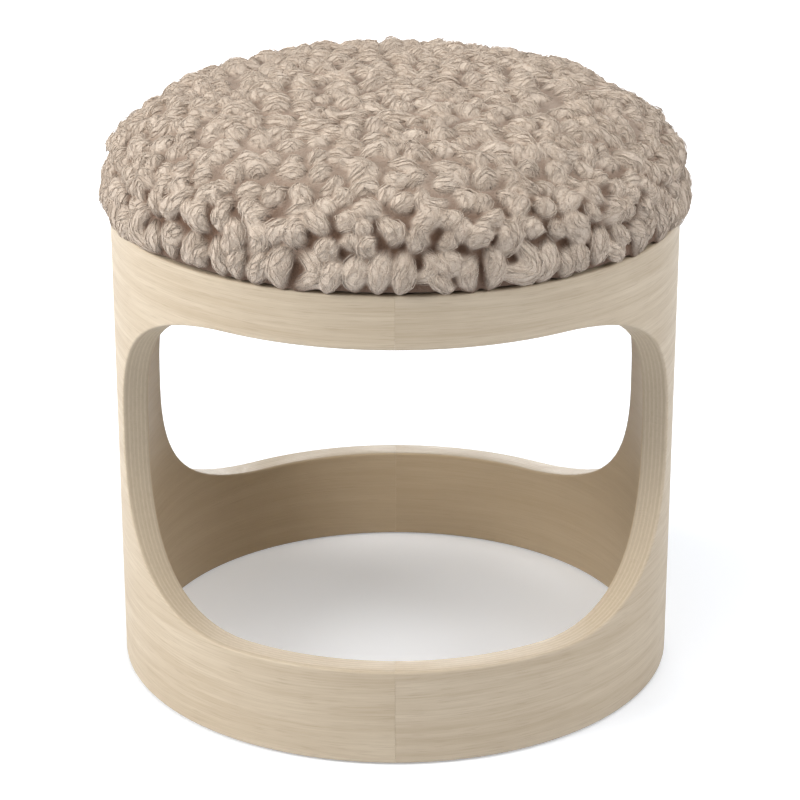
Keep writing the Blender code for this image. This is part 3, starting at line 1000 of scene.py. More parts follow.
@dataclass(frozen=True)
class MouldedNylon(Finish):
    """Moulded nylon, scuffed where it slides."""

    plain: Colour = (0.620, 0.580, 0.520)
    scuffed: Colour = (0.430, 0.400, 0.360)
    scuff_height: float = 0.0004

    def inputs(self, bench: Bench) -> dict:
        """Scuffs the lowest face, more where it is dusty.

        Args:
            bench: The bench on the material's nodes.

        Returns:
            The shader's inputs.
        """
        place = bench.here()
        worn = bench.group(EFFECTS.handling, Place=place, Scale=300.0)
        low = bench.span(bench.split(place)[2], 0.0, self.scuff_height, 0.8, 0.0)
        scuff = bench.calc("MULTIPLY", low, worn["Dust"])
        return {
            "Base Color": bench.layered(self.plain, (scuff, self.scuffed)),
            "Roughness": bench.span(worn["Patch"], 0.0, 1.0, 0.38, 0.55),
            "Normal": bench.bump(worn["Dust"], 0.00005, 0.6),
        }


@dataclass(frozen=True)
class BentDrum:
    """The drum: two half shells of bent plywood with a window in front and one behind.

    A shell is drawn unrolled, by the arc along the outside from the front seam, the depth
    into the wall and the height, and is then rolled up.
    """

    radius: float = 0.200
    wall: float = 0.0186
    bottom: float = 0.0013
    sill: float = 0.0708
    head: float = 0.3026
    top: float = 0.3400
    window_arc: float = 0.5128
    sill_straight: float = 0.2372
    side_straight: float = 0.0186
    edge_round: float = 0.0015
    seam_gap: float = 0.00004
    seam_arris: float = 0.00012
    post_margin: float = 0.003
    band_shares: tuple[float, ...] = (0, 0.02, 0.10, 0.30, 0.50, 0.70, 0.90, 0.98, 1.0)
    side_shares: tuple[float, ...] = (1 / 3, 2 / 3)
    sill_steps: int = 12
    corner_steps: int = 20
    post_steps: int = 14
    round_steps: int = 4
    flat_steps: int = 3
    crease: float = math.radians(32)
    dowels: int = 8

    @property
    def half_turn(self) -> float:
        """The arc of a half shell, from seam to seam."""
        return math.pi * self.radius

    @property
    def corner_rise(self) -> float:
        """How far a window's corner rises from the sill to the upright side."""
        return (self.head - self.sill - self.side_straight) / 2

    def outline(self) -> tuple[np.ndarray, np.ndarray]:
        """Walks the lower half of a window's edge from the seam to the upright side.

        The straight sill ends where the corner starts. The corner is a quarter ellipse: its arc
        is the straight plus its width times the sine of the turn, and its height the sill plus
        its rise times one less the cosine.

        Returns:
            The points (arc, height) and the unit normals into the window.
        """
        straight = self.sill_straight / 2
        width = self.window_arc / 2 - straight
        rise = self.corner_rise
        start = self.seam_gap / 2
        level = np.linspace(start + self.seam_arris, straight, self.sill_steps, endpoint=False)
        arcs = np.concatenate([[start], level])
        turn = np.linspace(0, QUARTER_TURN, self.corner_steps + 1)
        corner = np.stack([straight + width * np.sin(turn), self.sill + rise * (1 - np.cos(turn))], axis=1)
        points = np.concatenate([np.stack([arcs, np.full_like(arcs, self.sill)], axis=1), corner])
        ahead = np.stack([width * np.cos(turn), rise * np.sin(turn)], axis=1)
        ahead /= np.linalg.norm(ahead, axis=1, keepdims=True)
        inward = np.stack([-ahead[:, 1], ahead[:, 0]], axis=1)
        return points, np.concatenate([np.tile([[0.0, 1.0]], (len(arcs), 1)), inward])

    def face_grid(self) -> tuple[np.ndarray, np.ndarray, np.ndarray]:
        """Lays a grid over the unrolled wall, with the two windows as missing cells.

        Below a window, a column runs from the drum's lower edge to the window's outline, and
        above it from the outline to the upper edge.

        Returns:
            The arcs and the heights of the grid, and which cells are wood.
        """
        points, normals = self.outline()
        inset = points - normals * self.edge_round
        low = self.bottom + self.edge_round
        high = self.top - self.edge_round
        shares = np.array(self.band_shares)
        side_shares = np.array(self.side_shares)
        side_low = self.sill + self.corner_rise
        first = inset[-1, 0] + self.post_margin
        inner = np.linspace(first, self.half_turn - first, self.post_steps)
        arcs = np.concatenate([inset[:, 0], inner, self.half_turn - inset[::-1, 0]])
        below = np.concatenate([inset[:, 1], np.full(len(inner), side_low), inset[::-1, 1]])
        lower = low + shares[:, None] * (below[None] - low)
        middle = side_low + side_shares[:, None] * self.side_straight
        middle = np.broadcast_to(middle, (len(side_shares), len(arcs)))
        above = self.sill + self.head - below
        upper = above[None] + (1 - shares[::-1, None]) * (high - above)[None]
        heights = np.concatenate([lower, middle, upper])
        keep = np.ones((len(heights) - 1, len(arcs) - 1), dtype=bool)
        window = len(inset) - 1
        rows = slice(len(shares) - 1, len(shares) + len(side_shares))
        keep[rows, :window] = False
        keep[rows, -window:] = False
        return np.broadcast_to(arcs, heights.shape), heights, keep

    def edge_strip(self, points: np.ndarray, normals: np.ndarray) -> Surface:
        """Carries the edge's section along a path: a quarter round, the flat, a quarter round.

        Args:
            points: The path (arc, height).
            normals: Its unit normals, out of the wood.

        Returns:
            The surface, by (arc, depth, height).
        """
        turn = np.linspace(0, QUARTER_TURN, self.round_steps + 1)
        out = self.edge_round * (np.sin(turn) - 1)
        depth = self.edge_round * (1 - np.cos(turn))
        flat = np.linspace(self.edge_round, self.wall - self.edge_round, self.flat_steps + 1)[1:-1]
        out = np.concatenate([out, np.zeros(len(flat)), out[::-1]])
        depth = np.concatenate([depth, flat, self.wall - depth[::-1]])
        walk = points[:, None] + normals[:, None] * out[None, :, None]
        deep = np.broadcast_to(depth, walk.shape[:2])
        return grid_surface(np.stack([walk[..., 0], deep, walk[..., 1]], axis=-1), closed=False)

    def window_path(self) -> tuple[np.ndarray, np.ndarray]:
        """Walks the whole front window edge from the seam below to the seam above.

        Returns:
            The points (arc, height) and the unit normals into the window.
        """
        points, normals = self.outline()
        side = points[-1, 1] + np.array(self.side_shares) * self.side_straight
        upright = np.stack([np.full(len(side), points[-1, 0]), side], axis=1)
        upper = points[::-1] * (1, -1) + (0, self.sill + self.head)
        return (
            np.concatenate([points, upright, upper]),
            np.concatenate([normals, [[-1.0, 0.0]] * len(side), normals[::-1] * (1, -1)]),
        )

    def unrolled(self) -> Surface:
        """Draws the unrolled wall.

        Returns:
            Its outside and inside, the edges of both windows, and the lower and upper edges.
        """
        arcs, heights, keep = self.face_grid()
        sheets = []
        for depth in (0.0, self.wall):
            points = np.stack([arcs, np.full(arcs.shape, depth), heights], axis=-1)
            sheets.append(grid_surface(points, closed=False, keep=keep))
        front = self.edge_strip(*self.window_path())
        sheets += [front, replace(front, points=front.points * (-1, 1, 1) + (self.half_turn, 0, 0))]
        run = arcs[0]
        for height, out in ((self.bottom, -1.0), (self.top, 1.0)):
            path = np.stack([run, np.full_like(run, height)], axis=1)
            sheets.append(self.edge_strip(path, np.tile([[0.0, out]], (len(run), 1))))
        return joined(sheets)

    def eased(self, points: np.ndarray) -> np.ndarray:
        """Draws the points at the seams in from the faces, as an eased arris.

        Args:
            points: The points (arc, depth, height).

        Returns:
            The same points, those at the seams drawn in.
        """
        arc, depth, height = points.T
        at_seam = (arc < self.seam_gap / 2 + TINY) | (arc > self.half_turn - self.seam_gap / 2 - TINY)
        ease = self.seam_arris
        lower = height < (self.sill + self.head) / 2
        floor = np.where(lower, self.bottom, self.head) + ease
        ceiling = np.where(lower, self.sill, self.top) - ease
        depth = np.where(at_seam, np.clip(depth, ease, self.wall - ease), depth)
        height = np.where(at_seam, np.clip(height, floor, ceiling), height)
        return np.stack([arc, depth, height], axis=1)

    def shell_mesh(self, side: Side) -> bpy.types.Mesh:
        """Builds one half shell, with its unrolled place kept for the veneer.

        The wall is rolled up: the angle is the arc over the radius, from the front.

        Args:
            side: Which half shell.

        Returns:
            The mesh.
        """
        wall = self.unrolled()
        arc, depth, height = self.eased(wall.points).T
        angle = arc / self.radius
        reach = self.radius - depth
        wall.points = np.stack([side.value * reach * np.sin(angle), -reach * np.cos(angle), height], axis=1)
        mesh = mesh_of(f"{side.name.lower()}_shell_mesh", wall, self.crease, fill_holes=True)
        x, y, z = vertex_points(mesh).T
        arc = self.radius * np.arctan2(side.value * x, -y)
        sheet = np.stack([side.value * arc, self.radius - np.hypot(x, y), z], axis=1)
        mark_vertices(mesh, "unrolled", sheet)
        return mesh

    def build(self) -> None:
        """Makes both shells and dresses the dowels that cross their seams."""
        left = OakVeneer("oak_veneer_left", sheet_shift=0.9)
        right = OakVeneer("oak_veneer_right", (0.620, 0.525, 0.400), (0.480, 0.385, 0.270), sheet_shift=2.3)
        for side, veneer in ((Side.LEFT, left), (Side.RIGHT, right)):
            node = f"{side.name.lower()}_shell"
            make_piece(f"{node}_wood", self.shell_mesh(side), veneer.build(), (node,))
        beech = SawnWood("beech_dowel", (0.62, 0.47, 0.31), (0.50, 0.36, 0.22)).build()
        for number in range(self.dowels):
            dress_node(f"seam_dowel_{number + 1}", beech)


@dataclass(frozen=True)
class Fastener:
    """What the turned fasteners share: how finely they are turned, and how they are made."""

    sides: int = 24
    thread_steps: int = 4
    ending: str = "turned"
    slot: str = "bolt_metal"
    ring: bool = False

    def recess(self, drive: Drive, size: float) -> np.ndarray:
        """Gives the outline of a head's recess as a radius at each angle.

        A hexagon's radius is its half width over the cosine of the angle from the nearest
        flat's middle. A cross has four arms that widen towards the centre.

        Args:
            drive: Which recess.
            size: Its half width, or the length of the cross's arm.

        Returns:
            The radii of one station.
        """
        angle = np.linspace(0, FULL_TURN, self.sides, endpoint=False)
        if drive is Drive.HEXAGON:
            from_flat = (angle + math.pi / 6) % (math.pi / 3) - math.pi / 6
            return size / np.cos(from_flat)
        from_arm = np.abs((angle + math.pi / 4) % QUARTER_TURN - math.pi / 4)
        return size * (1 - 0.68 * smooth_step(from_arm, 0.12, 0.55))

    def thread(self, low: float, high: float, root: float, crest: float, pitch: float) -> tuple:
        """Cuts a thread: the radius follows a wave that climbs one pitch in a turn.

        Args:
            low: Where the thread starts.
            high: Where it ends.
            root: The radius between the ridges.
            crest: The radius on a ridge.
            pitch: How far apart the ridges are.

        Returns:
            The radii of its stations and their heights.
        """
        steps = max(2, round((high - low) / pitch * self.thread_steps))
        heights = np.linspace(low, high, steps + 1)
        turn = np.linspace(0, 1, self.sides, endpoint=False)
        wave = (heights[:, None] / pitch - turn[None]) % 1
        return root + (crest - root) * (1 - np.abs(2 * wave - 1)), heights

    def stretches(self) -> tuple:
        """Gives the stretches of stations, each as its radii and its heights."""
        raise NotImplementedError

    def make(self, node: str, place: np.ndarray, material: bpy.types.Material) -> None:
        """Turns the fastener in place of its CAD node.

        The radii of a stretch are round, a number for each station, or have one for each angle.

        Args:
            node: The node.
            place: The 4 x 4 matrix of its place.
            material: Its finish.
        """
        stretches = self.stretches()
        heights = np.concatenate([levels for _, levels in stretches])
        radii = [
            np.broadcast_to(np.reshape(radius, (len(levels), -1)), (len(levels), self.sides))
            for radius, levels in stretches
        ]
        surface = turned(np.concatenate(radii), heights, place, self.ring)
        mesh = mesh_of(f"{node}_mesh", surface, TURNED_CREASE)
        make_piece(f"{node}_{self.ending}", mesh, material, (node,))


@dataclass(frozen=True)
class WoodScrew(Fastener):
    """A countersunk wood screw with a cross recess, its head at z = 0 and its tip up."""

    ending: str = "threaded"
    slot: str = "screw_metal"
    head_radius: float = 0.004
    head: float = 0.0022
    arm: float = 0.0021
    radius: float = 0.002
    root: float = 0.0014
    length: float = 0.030
    thread_start: float = 0.009
    tip: float = 0.005
    pitch: float = 0.0018

    def stretches(self) -> tuple:
        """Goes from the recess over the head and the thread to the tip.

        Returns:
            Its stretches.
        """
        recess = self.recess(Drive.CROSS, self.arm) * np.array([[0], [0.45], [1]])
        neck = [self.head_radius - 0.0002, self.head_radius, self.radius, self.radius * 0.86]
        return (
            (recess, [0.0017, 0.0014, 0.0]),
            (neck, [0.0, 0.0002, self.head, self.head + 0.0008]),
            self.thread(self.thread_start, self.length - self.tip, self.root, self.radius, self.pitch),
            ([0.0012, 0.0], [self.length - self.tip * 0.5, self.length]),
        )


@dataclass(frozen=True)
class SocketBolt(Fastener):
    """A bolt with a low round head and a hexagon socket, its head under z = 0."""

    head_radius: float = 0.0055
    head: float = 0.0035
    socket: float = 0.0020
    radius: float = 0.003
    root: float = 0.0026
    reach: float = 0.0305
    thread_start: float = 0.012
    pitch: float = 0.001

    def stretches(self) -> tuple:
        """Goes from the socket over the head and the thread to the end.

        Returns:
            Its stretches.
        """
        socket = self.recess(Drive.HEXAGON, self.socket) * np.array([[0], [1], [1]])
        low = -self.head
        dome = [0.0029, 0.0042, 0.0051, self.head_radius, self.head_radius, self.radius, self.radius]
        levels = [low, low + 0.0004, low + 0.0012, low + 0.0022, 0.0, 0.0, self.thread_start - 0.0005]
        return (
            (socket, [low + 0.0022, low + 0.0021, low]),
            (dome, levels),
            self.thread(self.thread_start, self.reach - 0.0008, self.root, self.radius, self.pitch),
            ([0.0024, 0.0], [self.reach, self.reach]),
        )


@dataclass(frozen=True)
class FlatWasher(Fastener):
    """A flat washer with slightly rounded rims, its top at z = 0."""

    ring: bool = True
    hole: float = 0.0033
    radius: float = 0.009
    thick: float = 0.0014
    ease: float = 0.0002

    def stretches(self) -> tuple:
        """Goes round the washer's section.

        Returns:
            Its stretches.
        """
        ease, low = self.ease, -self.thick
        over = [self.hole, self.hole + ease, self.radius - ease, self.radius]
        levels = [-ease, 0, 0, -ease, low + ease, low, low, low + ease]
        return ((over + over[::-1], levels),)


@dataclass(frozen=True)
class TeeNut(Fastener):
    """A tee nut: a flange on the board and a threaded barrel in it, its top at z = 0."""

    ring: bool = True
    hole: float = 0.0033
    flange_radius: float = 0.010
    flange: float = 0.0014
    barrel_radius: float = 0.0045
    barrel: float = 0.009
    ease: float = 0.0003
    thread_margin: float = 0.0006
    thread_height: float = 0.0004
    pitch: float = 0.001

    def stretches(self) -> tuple:
        """Goes over the flange, down the barrel and up the thread in it.

        Returns:
            Its stretches.
        """
        ease, inner = self.ease, self.hole + self.ease
        wide, neck, margin = self.flange_radius, self.barrel_radius, self.thread_margin
        crest = self.hole + self.thread_height
        under, foot = -self.flange, -self.barrel
        return (
            ([inner, wide - ease, wide, wide, wide - ease], [0.0, 0.0, -ease, under + ease, under]),
            ([neck + ease, neck, neck, inner], [under, under - ease, foot, foot]),
            self.thread(-self.barrel + margin, -margin, self.hole, crest, self.pitch),
        )


@dataclass(frozen=True)
class ButtonGlide(Fastener):
    """A nylon button glide: a rounded foot on the floor and a barbed stem in the wood."""

    ending: str = "button"
    slot: str = "glide_plastic"
    radius: float = 0.006
    head: float = 0.002
    stem_radius: float = 0.0025
    stem: float = 0.010

    def stretches(self) -> tuple:
        """Goes over the foot and up the barbed stem.

        Returns:
            Its stretches.
        """
        foot = [0.0, 0.0040, 0.0050, 0.0056, 0.0059, self.radius, self.radius, 0.0057, self.stem_radius]
        levels = [0.0, 0.0, 0.00008, 0.00025, 0.0005, 0.0009, self.head - 0.0003, self.head, self.head]
        barb = [0.0018, 0.0025, 0.0018, 0.0025, 0.0018, 0.0025, 0.0013, 0.0]
        climb = [0.0035, 0.0040, 0.0058, 0.0063, 0.0081, 0.0086, 0.0112, self.head + self.stem]
        return (foot, levels), (barb, climb)


@dataclass(frozen=True)
class FloorFeet:
    """The six glides under the lower band."""

    circle: float = 0.1907
    count: int = 6
    glide: ButtonGlide = ButtonGlide()

    def build(self) -> None:
        """Makes the glides."""
        nylon = MouldedNylon("moulded_nylon").build()
        for number in range(self.count):
            place = place_at(FULL_TURN * number / self.count, self.circle, 0, 0)
            self.glide.make(f"floor_glide_{number + 1}", place, nylon)


@dataclass(frozen=True)
class SeatFrame:
    """The deck that closes the drum, the ledger blocks under it and their screws."""

    deck_bottom: float = 0.3250
    deck_thick: float = 0.015
    block_bottom: float = 0.3047
    block_height: float = 0.020
    block_depth: float = 0.018
    block_front: float = 0.1634
    screw_spacing: float = 0.060
    count: int = 6
    screw: WoodScrew = WoodScrew()

    def build(self) -> None:
        """Dresses the deck and the blocks, and makes two level screws and one upright in each."""
        dress_node("seat_deck", FlatPlywood("deck_plywood", self.deck_bottom, self.deck_thick).build())
        birch = SawnWood("birch_block", (0.62, 0.49, 0.33), (0.50, 0.37, 0.23), round_drum=True).build()
        steel = PlatedSteel("yellow_zinc", (0.62, 0.49, 0.25), (0.45, 0.36, 0.20)).build()
        middle = self.block_front + self.block_depth / 2
        height = self.block_bottom + self.block_height / 2
        for number in range(self.count):
            dress_node(f"ledger_block_{number + 1}", birch)
            azimuth = QUARTER_TURN + FULL_TURN * number / self.count
            for twin, aside in enumerate((-self.screw_spacing / 2, self.screw_spacing / 2)):
                place = place_at(azimuth, self.block_front, aside, height, "outward")
                self.screw.make(f"shell_screw_{2 * number + twin + 1}", place, steel)
            place = place_at(azimuth, middle, 0, self.block_bottom)
            self.screw.make(f"deck_screw_{number + 1}", place, steel)


@dataclass(frozen=True)
class CushionForm:
    """The cushion's round form, as profiles that are turned about the drum's axis.

    A profile is the dome from its crown to its widest point, then the side drawn in under it.
    """

    radius: float = 0.208
    underside_radius: float = 0.188
    widest: float = 0.3665
    crown: float = 0.4330
    crown_power: float = 2.04
    crown_fullness: float = 2.2

    def dome(self, inset: float, steps: int) -> np.ndarray:
        """Gives the dome.

        The radius is the widest one times the sine of a turn from 0 to a quarter, and the height
        over the widest point is the rise times (1 - sine^power)^(1/fullness).

        Args:
            inset: How far inside the pile's outer shape the dome lies.
            steps: How many steps it has.

        Returns:
            Its points (radius, height) from the crown outwards.
        """
        across = np.sin(np.linspace(0, QUARTER_TURN, steps + 1))
        level = np.clip(1 - across**self.crown_power, 0, 1) ** (1 / self.crown_fullness)
        rise = self.crown - inset - self.widest
        return np.stack([(self.radius - inset) * across, self.widest + rise * level], axis=1)

    def side(self, inset: float, low_radius: float, low: float, steps: int) -> np.ndarray:
        """Gives the side from just under the widest point to the underside, a quarter ellipse.

        Args:
            inset: How far inside the pile's outer shape it lies.
            low_radius: Its radius at its lower end.
            low: The height of that end.
            steps: How many steps it has.

        Returns:
            Its points (radius, height) downwards.
        """
        drop = np.sin(np.linspace(0, QUARTER_TURN, steps + 1))[1:]
        level = np.sqrt(np.clip(1 - drop**2, 0, 1))
        radius = low_radius + (self.radius - inset - low_radius) * level
        return np.stack([radius, self.widest + (low - self.widest) * drop], axis=1)


@dataclass(frozen=True)
class Swell:
    """How far the blown-up cover stands out from its start, by level and azimuth."""

    map: np.ndarray

    def at(self, level: np.ndarray, azimuth: np.ndarray) -> np.ndarray:
        """Reads the map between its points.

        Args:
            level: The height share, from 0 at the crown to 1 at the underside.
            azimuth: The angle round the axis, in radians.

        Returns:
            How far each place stands out, in metres.
        """
        rows, columns = self.map.shape
        row = np.clip(level, 0, 1) * (rows - 1)
        column = azimuth / FULL_TURN % 1 * columns
        top = np.minimum(row.astype(int), rows - 2)
        left = column.astype(int) % columns
        down = row - top
        over = column - np.floor(column)
        right = (left + 1) % columns
        upper = self.map[top, left] * (1 - over) + self.map[top, right] * over
        lower = self.map[top + 1, left] * (1 - over) + self.map[top + 1, right] * over
        return upper * (1 - down) + lower * down


@dataclass(frozen=True)
class PileCushion:
    """The domed cushion: board, foam, wadding, pile cover with its curls, cloth and bolts."""

    form: CushionForm = CushionForm()
    board_bottom: float = 0.3430
    board_top: float = 0.3550
    board_radius: float = 0.1777
    board_layer: float = 0.0024
    hem_radius: float = 0.1477
    hem_bottom: float = 0.3412
    hem_top: float = 0.3427
    dust_bottom: float = 0.3403
    dust_radius: float = 0.1677
    dust_thick: float = 0.00025
    dust_wave: float = 0.00012
    gap: float = 0.0003
    backing_inset: float = 0.0091
    pile_thick: float = 0.010
    batting_thick: float = 0.008
    foam_overhang: float = 0.004
    start_inset: float = 0.0015
    start_sides: int = 96
    start_voxel: float = 0.006
    pressure: float = 4
    frames: int = 20
    map_rows: int = 20
    map_columns: int = 48
    most_swell: float = 0.0025
    bolt_circle: float = 0.110
    deck_bottom: float = 0.3250
    sides: int = 144

    def build(self) -> None:
        """Makes the cushion from the inside out."""
        thick = self.board_top - self.board_bottom
        board = FlatPlywood("board_plywood", self.board_bottom, thick, self.board_layer)
        dress_node("cushion_board", board.build())
        self.make_foam()
        self.make_batting()
        self.make_cover()
        self.make_dust_cover()
        self.make_bolts()
        PileLocks(self.form, self.swell).build()

    @cached_property
    def start_line(self) -> Line:
        """The profile that the cover is blown up from, a little small."""
        inset = self.backing_inset + self.start_inset
        side = self.form.side(inset, self.form.underside_radius - 0.006, self.hem_top, 14)
        return Line(np.concatenate([self.form.dome(inset, 40), side]))

    def level_of(self, points: np.ndarray) -> np.ndarray:
        """Finds how far down the start profile each point stands, from 0 to 1.

        Args:
            points: Points (radius, height) near the profile.

        Returns:
            The share of the profile's length at the nearest place on it.
        """
        line = self.start_line
        apart = np.hypot(*(points[:, None] - line.points[None]).transpose(2, 0, 1))
        return (line.walked / line.walked[-1])[np.argmin(apart, axis=1)]

    @cached_property
    def swell(self) -> Swell:
        """Returns:
            The swell. It is averaged over the cells of a map by level and azimuth, capped along
            a hyperbolic tangent, and evened out round the crown.
        """
        bins = (self.map_rows, self.map_columns)
        start, moved = self.blown_up()
        upper = start[:, 2] > self.hem_top + 0.001
        start = start[upper]
        level = self.level_of(np.stack([np.hypot(start[:, 0], start[:, 1]), start[:, 2]], axis=1))
        azimuth = np.arctan2(start[:, 1], start[:, 0]) % FULL_TURN
        ray = start - np.array([0, 0, self.form.widest - 0.02])
        ray /= np.linalg.norm(ray, axis=1, keepdims=True)
        out = (moved[upper] * ray).sum(axis=1)
        limits = [[0, 1], [0, FULL_TURN]]
        total = np.histogram2d(level, azimuth, bins=bins, range=limits, weights=out)[0]
        hits = np.histogram2d(level, azimuth, bins=bins, range=limits)[0]
        mean = out.mean()
        grid = np.where(hits > 0, total / np.maximum(hits, 1), mean)
        capped = self.most_swell * np.tanh(grid / max(mean, TINY))
        capped[0] = capped[0].mean()
        log.info("cover: swells %.1f mm before the cap, %.1f mm after", mean * 1000, capped.mean() * 1000)
        return Swell(capped - self.start_inset)

    def blown_up(self) -> tuple[np.ndarray, np.ndarray]:
        """Blows the cover up with cloth simulation.

        The closed start shape is remeshed, held at its underside, and put under pressure
        without gravity.

        Returns:
            Where its points start, and how far each moves.
        """
        profile = self.start_line.points
        radius, height = profile[-1]
        closed = np.concatenate([profile, [[radius * 0.5, height], [0.0, height]]])
        shape = turned_upright(closed, self.start_sides)
        cover = placed("cover_start", mesh_of("cover_start", shape, math.pi))
        remeshed(cover, self.start_voxel)
        start = vertex_points(cover.data)
        held = cover.vertex_groups.new(name="hem")
        held.add(np.flatnonzero(start[:, 2] < self.hem_top + 0.002).tolist(), 1.0, "REPLACE")
        settings = cover.modifiers.new("cover_cloth", "CLOTH").settings
        settings.quality = 5
        settings.mass = 0.35
        settings.tension_stiffness = 40
        settings.compression_stiffness = 40
        settings.bending_stiffness = 1.5
        settings.use_pressure = True
        settings.uniform_pressure_force = self.pressure
        settings.vertex_group_mass = held.name
        settings.effector_weights.gravity = 0
        for number in range(self.frames):
            bpy.context.scene.frame_set(number + 1)
        moved = vertex_points(applied(cover)) - start
        bpy.context.scene.frame_set(1)
        bpy.data.objects.remove(cover)
        return start, moved

    def swollen(self, profile: np.ndarray, share: object) -> Surface:
        """Turns a profile and moves it out by a share of the swell.

        Args:
            profile: Its points (radius, height).
            share: How much of the swell it takes, from 0 to 1, at each point.

        Returns:
            The closed surface.
        """
        azimuth = np.linspace(0, FULL_TURN, self.sides, endpoint=False)
        level = self.level_of(profile)
        out = self.swell.at(level[:, None] + 0 * azimuth, azimuth[None] + 0 * level[:, None])
        out = out * share[:, None]
        lean = np.arctan2(profile[:, 0], np.maximum(profile[:, 1] - self.form.widest + 0.05, 0.01))
        radius = profile[:, :1] + out * np.sin(lean)[:, None]
        height = profile[:, 1:] + out * np.cos(lean)[:, None] * (profile[:, 1:] > self.form.widest)
        points = np.stack([radius * np.cos(azimuth), radius * np.sin(azimuth), height], axis=-1)
        return grid_surface(points, closed=True)

    def make_foam(self) -> None:
        """Makes the foam pad on the board."""
        inset = self.pile_thick + self.batting_thick + 2 * self.gap
        low = self.board_top + self.gap
        edge = self.board_radius + self.foam_overhang
        rim = [[edge + 0.0012, low + 0.004], [edge, low + 0.0010], [edge - 0.001, low]]
        profile = np.concatenate([self.form.dome(inset + 0.0008, 36), rim, [[edge * 0.6, low], [0.0, low]]])
        share = np.where(profile[:, 1] > self.form.widest, 0.25, 0.0)
        mesh = mesh_of("foam_pad_mesh", self.swollen(profile, share), math.radians(50))
        piece = make_piece("foam_core", mesh, OpenFoam("open_foam").build(), ("foam_pad",))

    def make_batting(self) -> None:
        """Makes the wadding over the foam."""
        inset = self.pile_thick + self.gap
        dome = self.form.dome(inset + 0.0004, 36)
        low_radius = self.board_radius + self.gap
        side = self.form.side(inset + 0.0004, low_radius + 0.001, self.board_bottom, 12)[:-1]
        edge = [[low_radius, self.board_bottom + 0.003], [low_radius, self.board_top + self.gap / 2]]
        seat = [[low_radius + self.foam_overhang, self.board_top + self.gap * 0.8]]
        inner = self.form.dome(inset + self.batting_thick, 36)[::-1]
        profile = np.concatenate([dome, side, edge, seat, inner])
        share = np.repeat([0.5, 0.2, 0.0, 0.3], [len(dome), len(side), 3, len(inner)])
        mesh = mesh_of("batting_mesh", self.swollen(profile, share), math.radians(60))
        piece = make_piece("batting_layer", mesh, Wadding("wadding").build(), ("batting_wrap",))

    def make_cover(self) -> None:
        """Makes the cover's knitted backing, with its hem turned in under the board."""
        dome = self.form.dome(self.backing_inset, 48)
        side = self.form.side(self.backing_inset, self.form.underside_radius - 0.003, self.hem_bottom, 16)
        hem = [[self.hem_radius, self.hem_bottom], [self.hem_radius, self.hem_top]]
        inset = self.pile_thick - 0.0001
        inner_side = self.form.side(inset, self.board_radius + self.gap, self.hem_top, 16)
        inner = np.concatenate([self.form.dome(inset, 48), inner_side])[::-1]
        profile = np.concatenate([dome, side, hem, inner])
        share = np.where(profile[:, 1] < self.board_bottom, 0.0, 1.0)
        mesh = mesh_of("cover_backing_mesh", self.swollen(profile, share), math.radians(60))
        backing = KnittedBacking("knitted_backing").build()
        piece = make_piece("cover_backing", mesh, backing, ("cushion_cover",))

    def make_dust_cover(self) -> None:
        """Makes the thin cloth stretched under the board, over the inner edge of the hem."""
        radius = np.array([0.0, 0.05, 0.10, 0.140, 0.1490, 0.1560, self.dust_radius])[:, None]
        azimuth = np.linspace(0, FULL_TURN, self.sides, endpoint=False)
        loose = self.dust_wave * (1 + np.sin(9 * azimuth) * np.sin(radius * 60))
        under = self.dust_bottom + 0.0001 + np.where(radius < self.hem_radius - 0.0007, loose, 0.0)
        lower = np.stack([radius * np.cos(azimuth), radius * np.sin(azimuth), under], axis=-1)
        points = np.concatenate([lower, (lower + (0, 0, self.dust_thick))[::-1]])
        mesh = mesh_of("dust_cover_mesh", grid_surface(points, closed=True), TURNED_CREASE)
        cloth = DustCloth("dust_cloth_black").build()
        piece = make_piece("dust_cloth", mesh, cloth, ("dust_cover",))

    def make_bolts(self) -> None:
        """Makes the four bolts with their washers and tee nuts."""
        steel = PlatedSteel("bright_zinc", (0.58, 0.58, 0.58), (0.40, 0.40, 0.42)).build()
        washer_top = self.deck_bottom - self.gap
        washer = FlatWasher()
        seat = washer_top - washer.thick - self.gap
        bolt = SocketBolt(reach=self.board_top - 0.001 - seat)
        for number in range(4):
            for kind, part, height in (
                ("bolt_washer", washer, washer_top),
                ("cushion_bolt", bolt, seat),
                ("tee_nut", TeeNut(), self.board_top),
            ):
                place = place_at(math.pi / 4 + QUARTER_TURN * number, self.bolt_circle, 0, height)
                part.make(f"{kind}_{number + 1}", place, steel)


@dataclass
class Locks:
    """The numbers of many locks, one entry each.

    down is the way down the crest line, azimuth the angle round the axis, turn how far the
    lock lies off the way down, width, thick and length its half width, half thickness and
    length, bend how much it curls, lift how far it stands out, sink how far its two ends dip,
    and hanging 1 where the lower end stays proud.
    """

    down: np.ndarray
    azimuth: np.ndarray
    turn: np.ndarray
    width: np.ndarray
    thick: np.ndarray
    length: np.ndarray
    bend: np.ndarray
    lift: np.ndarray
    sink: np.ndarray
    hanging: np.ndarray

    def chosen(self, keep: np.ndarray) -> "Locks":
        """Gives the locks that a mask keeps."""
        return Locks(*(getattr(self, part.name)[keep] for part in fields(self)))

    def followed_by(self, other: "Locks") -> "Locks":
        """Gives these locks with the other ones after them."""
        pairs = ((getattr(self, part.name), getattr(other, part.name)) for part in fields(self))
        return Locks(*(np.concatenate(pair) for pair in pairs))


@dataclass(frozen=True)
class Shakes:
    """How far chance varies the locks: the spread of each of their numbers."""

    turn: float
    width: float
    thick: float
    length: float
    bend: float
    lift: float
    sink: float = 0.2


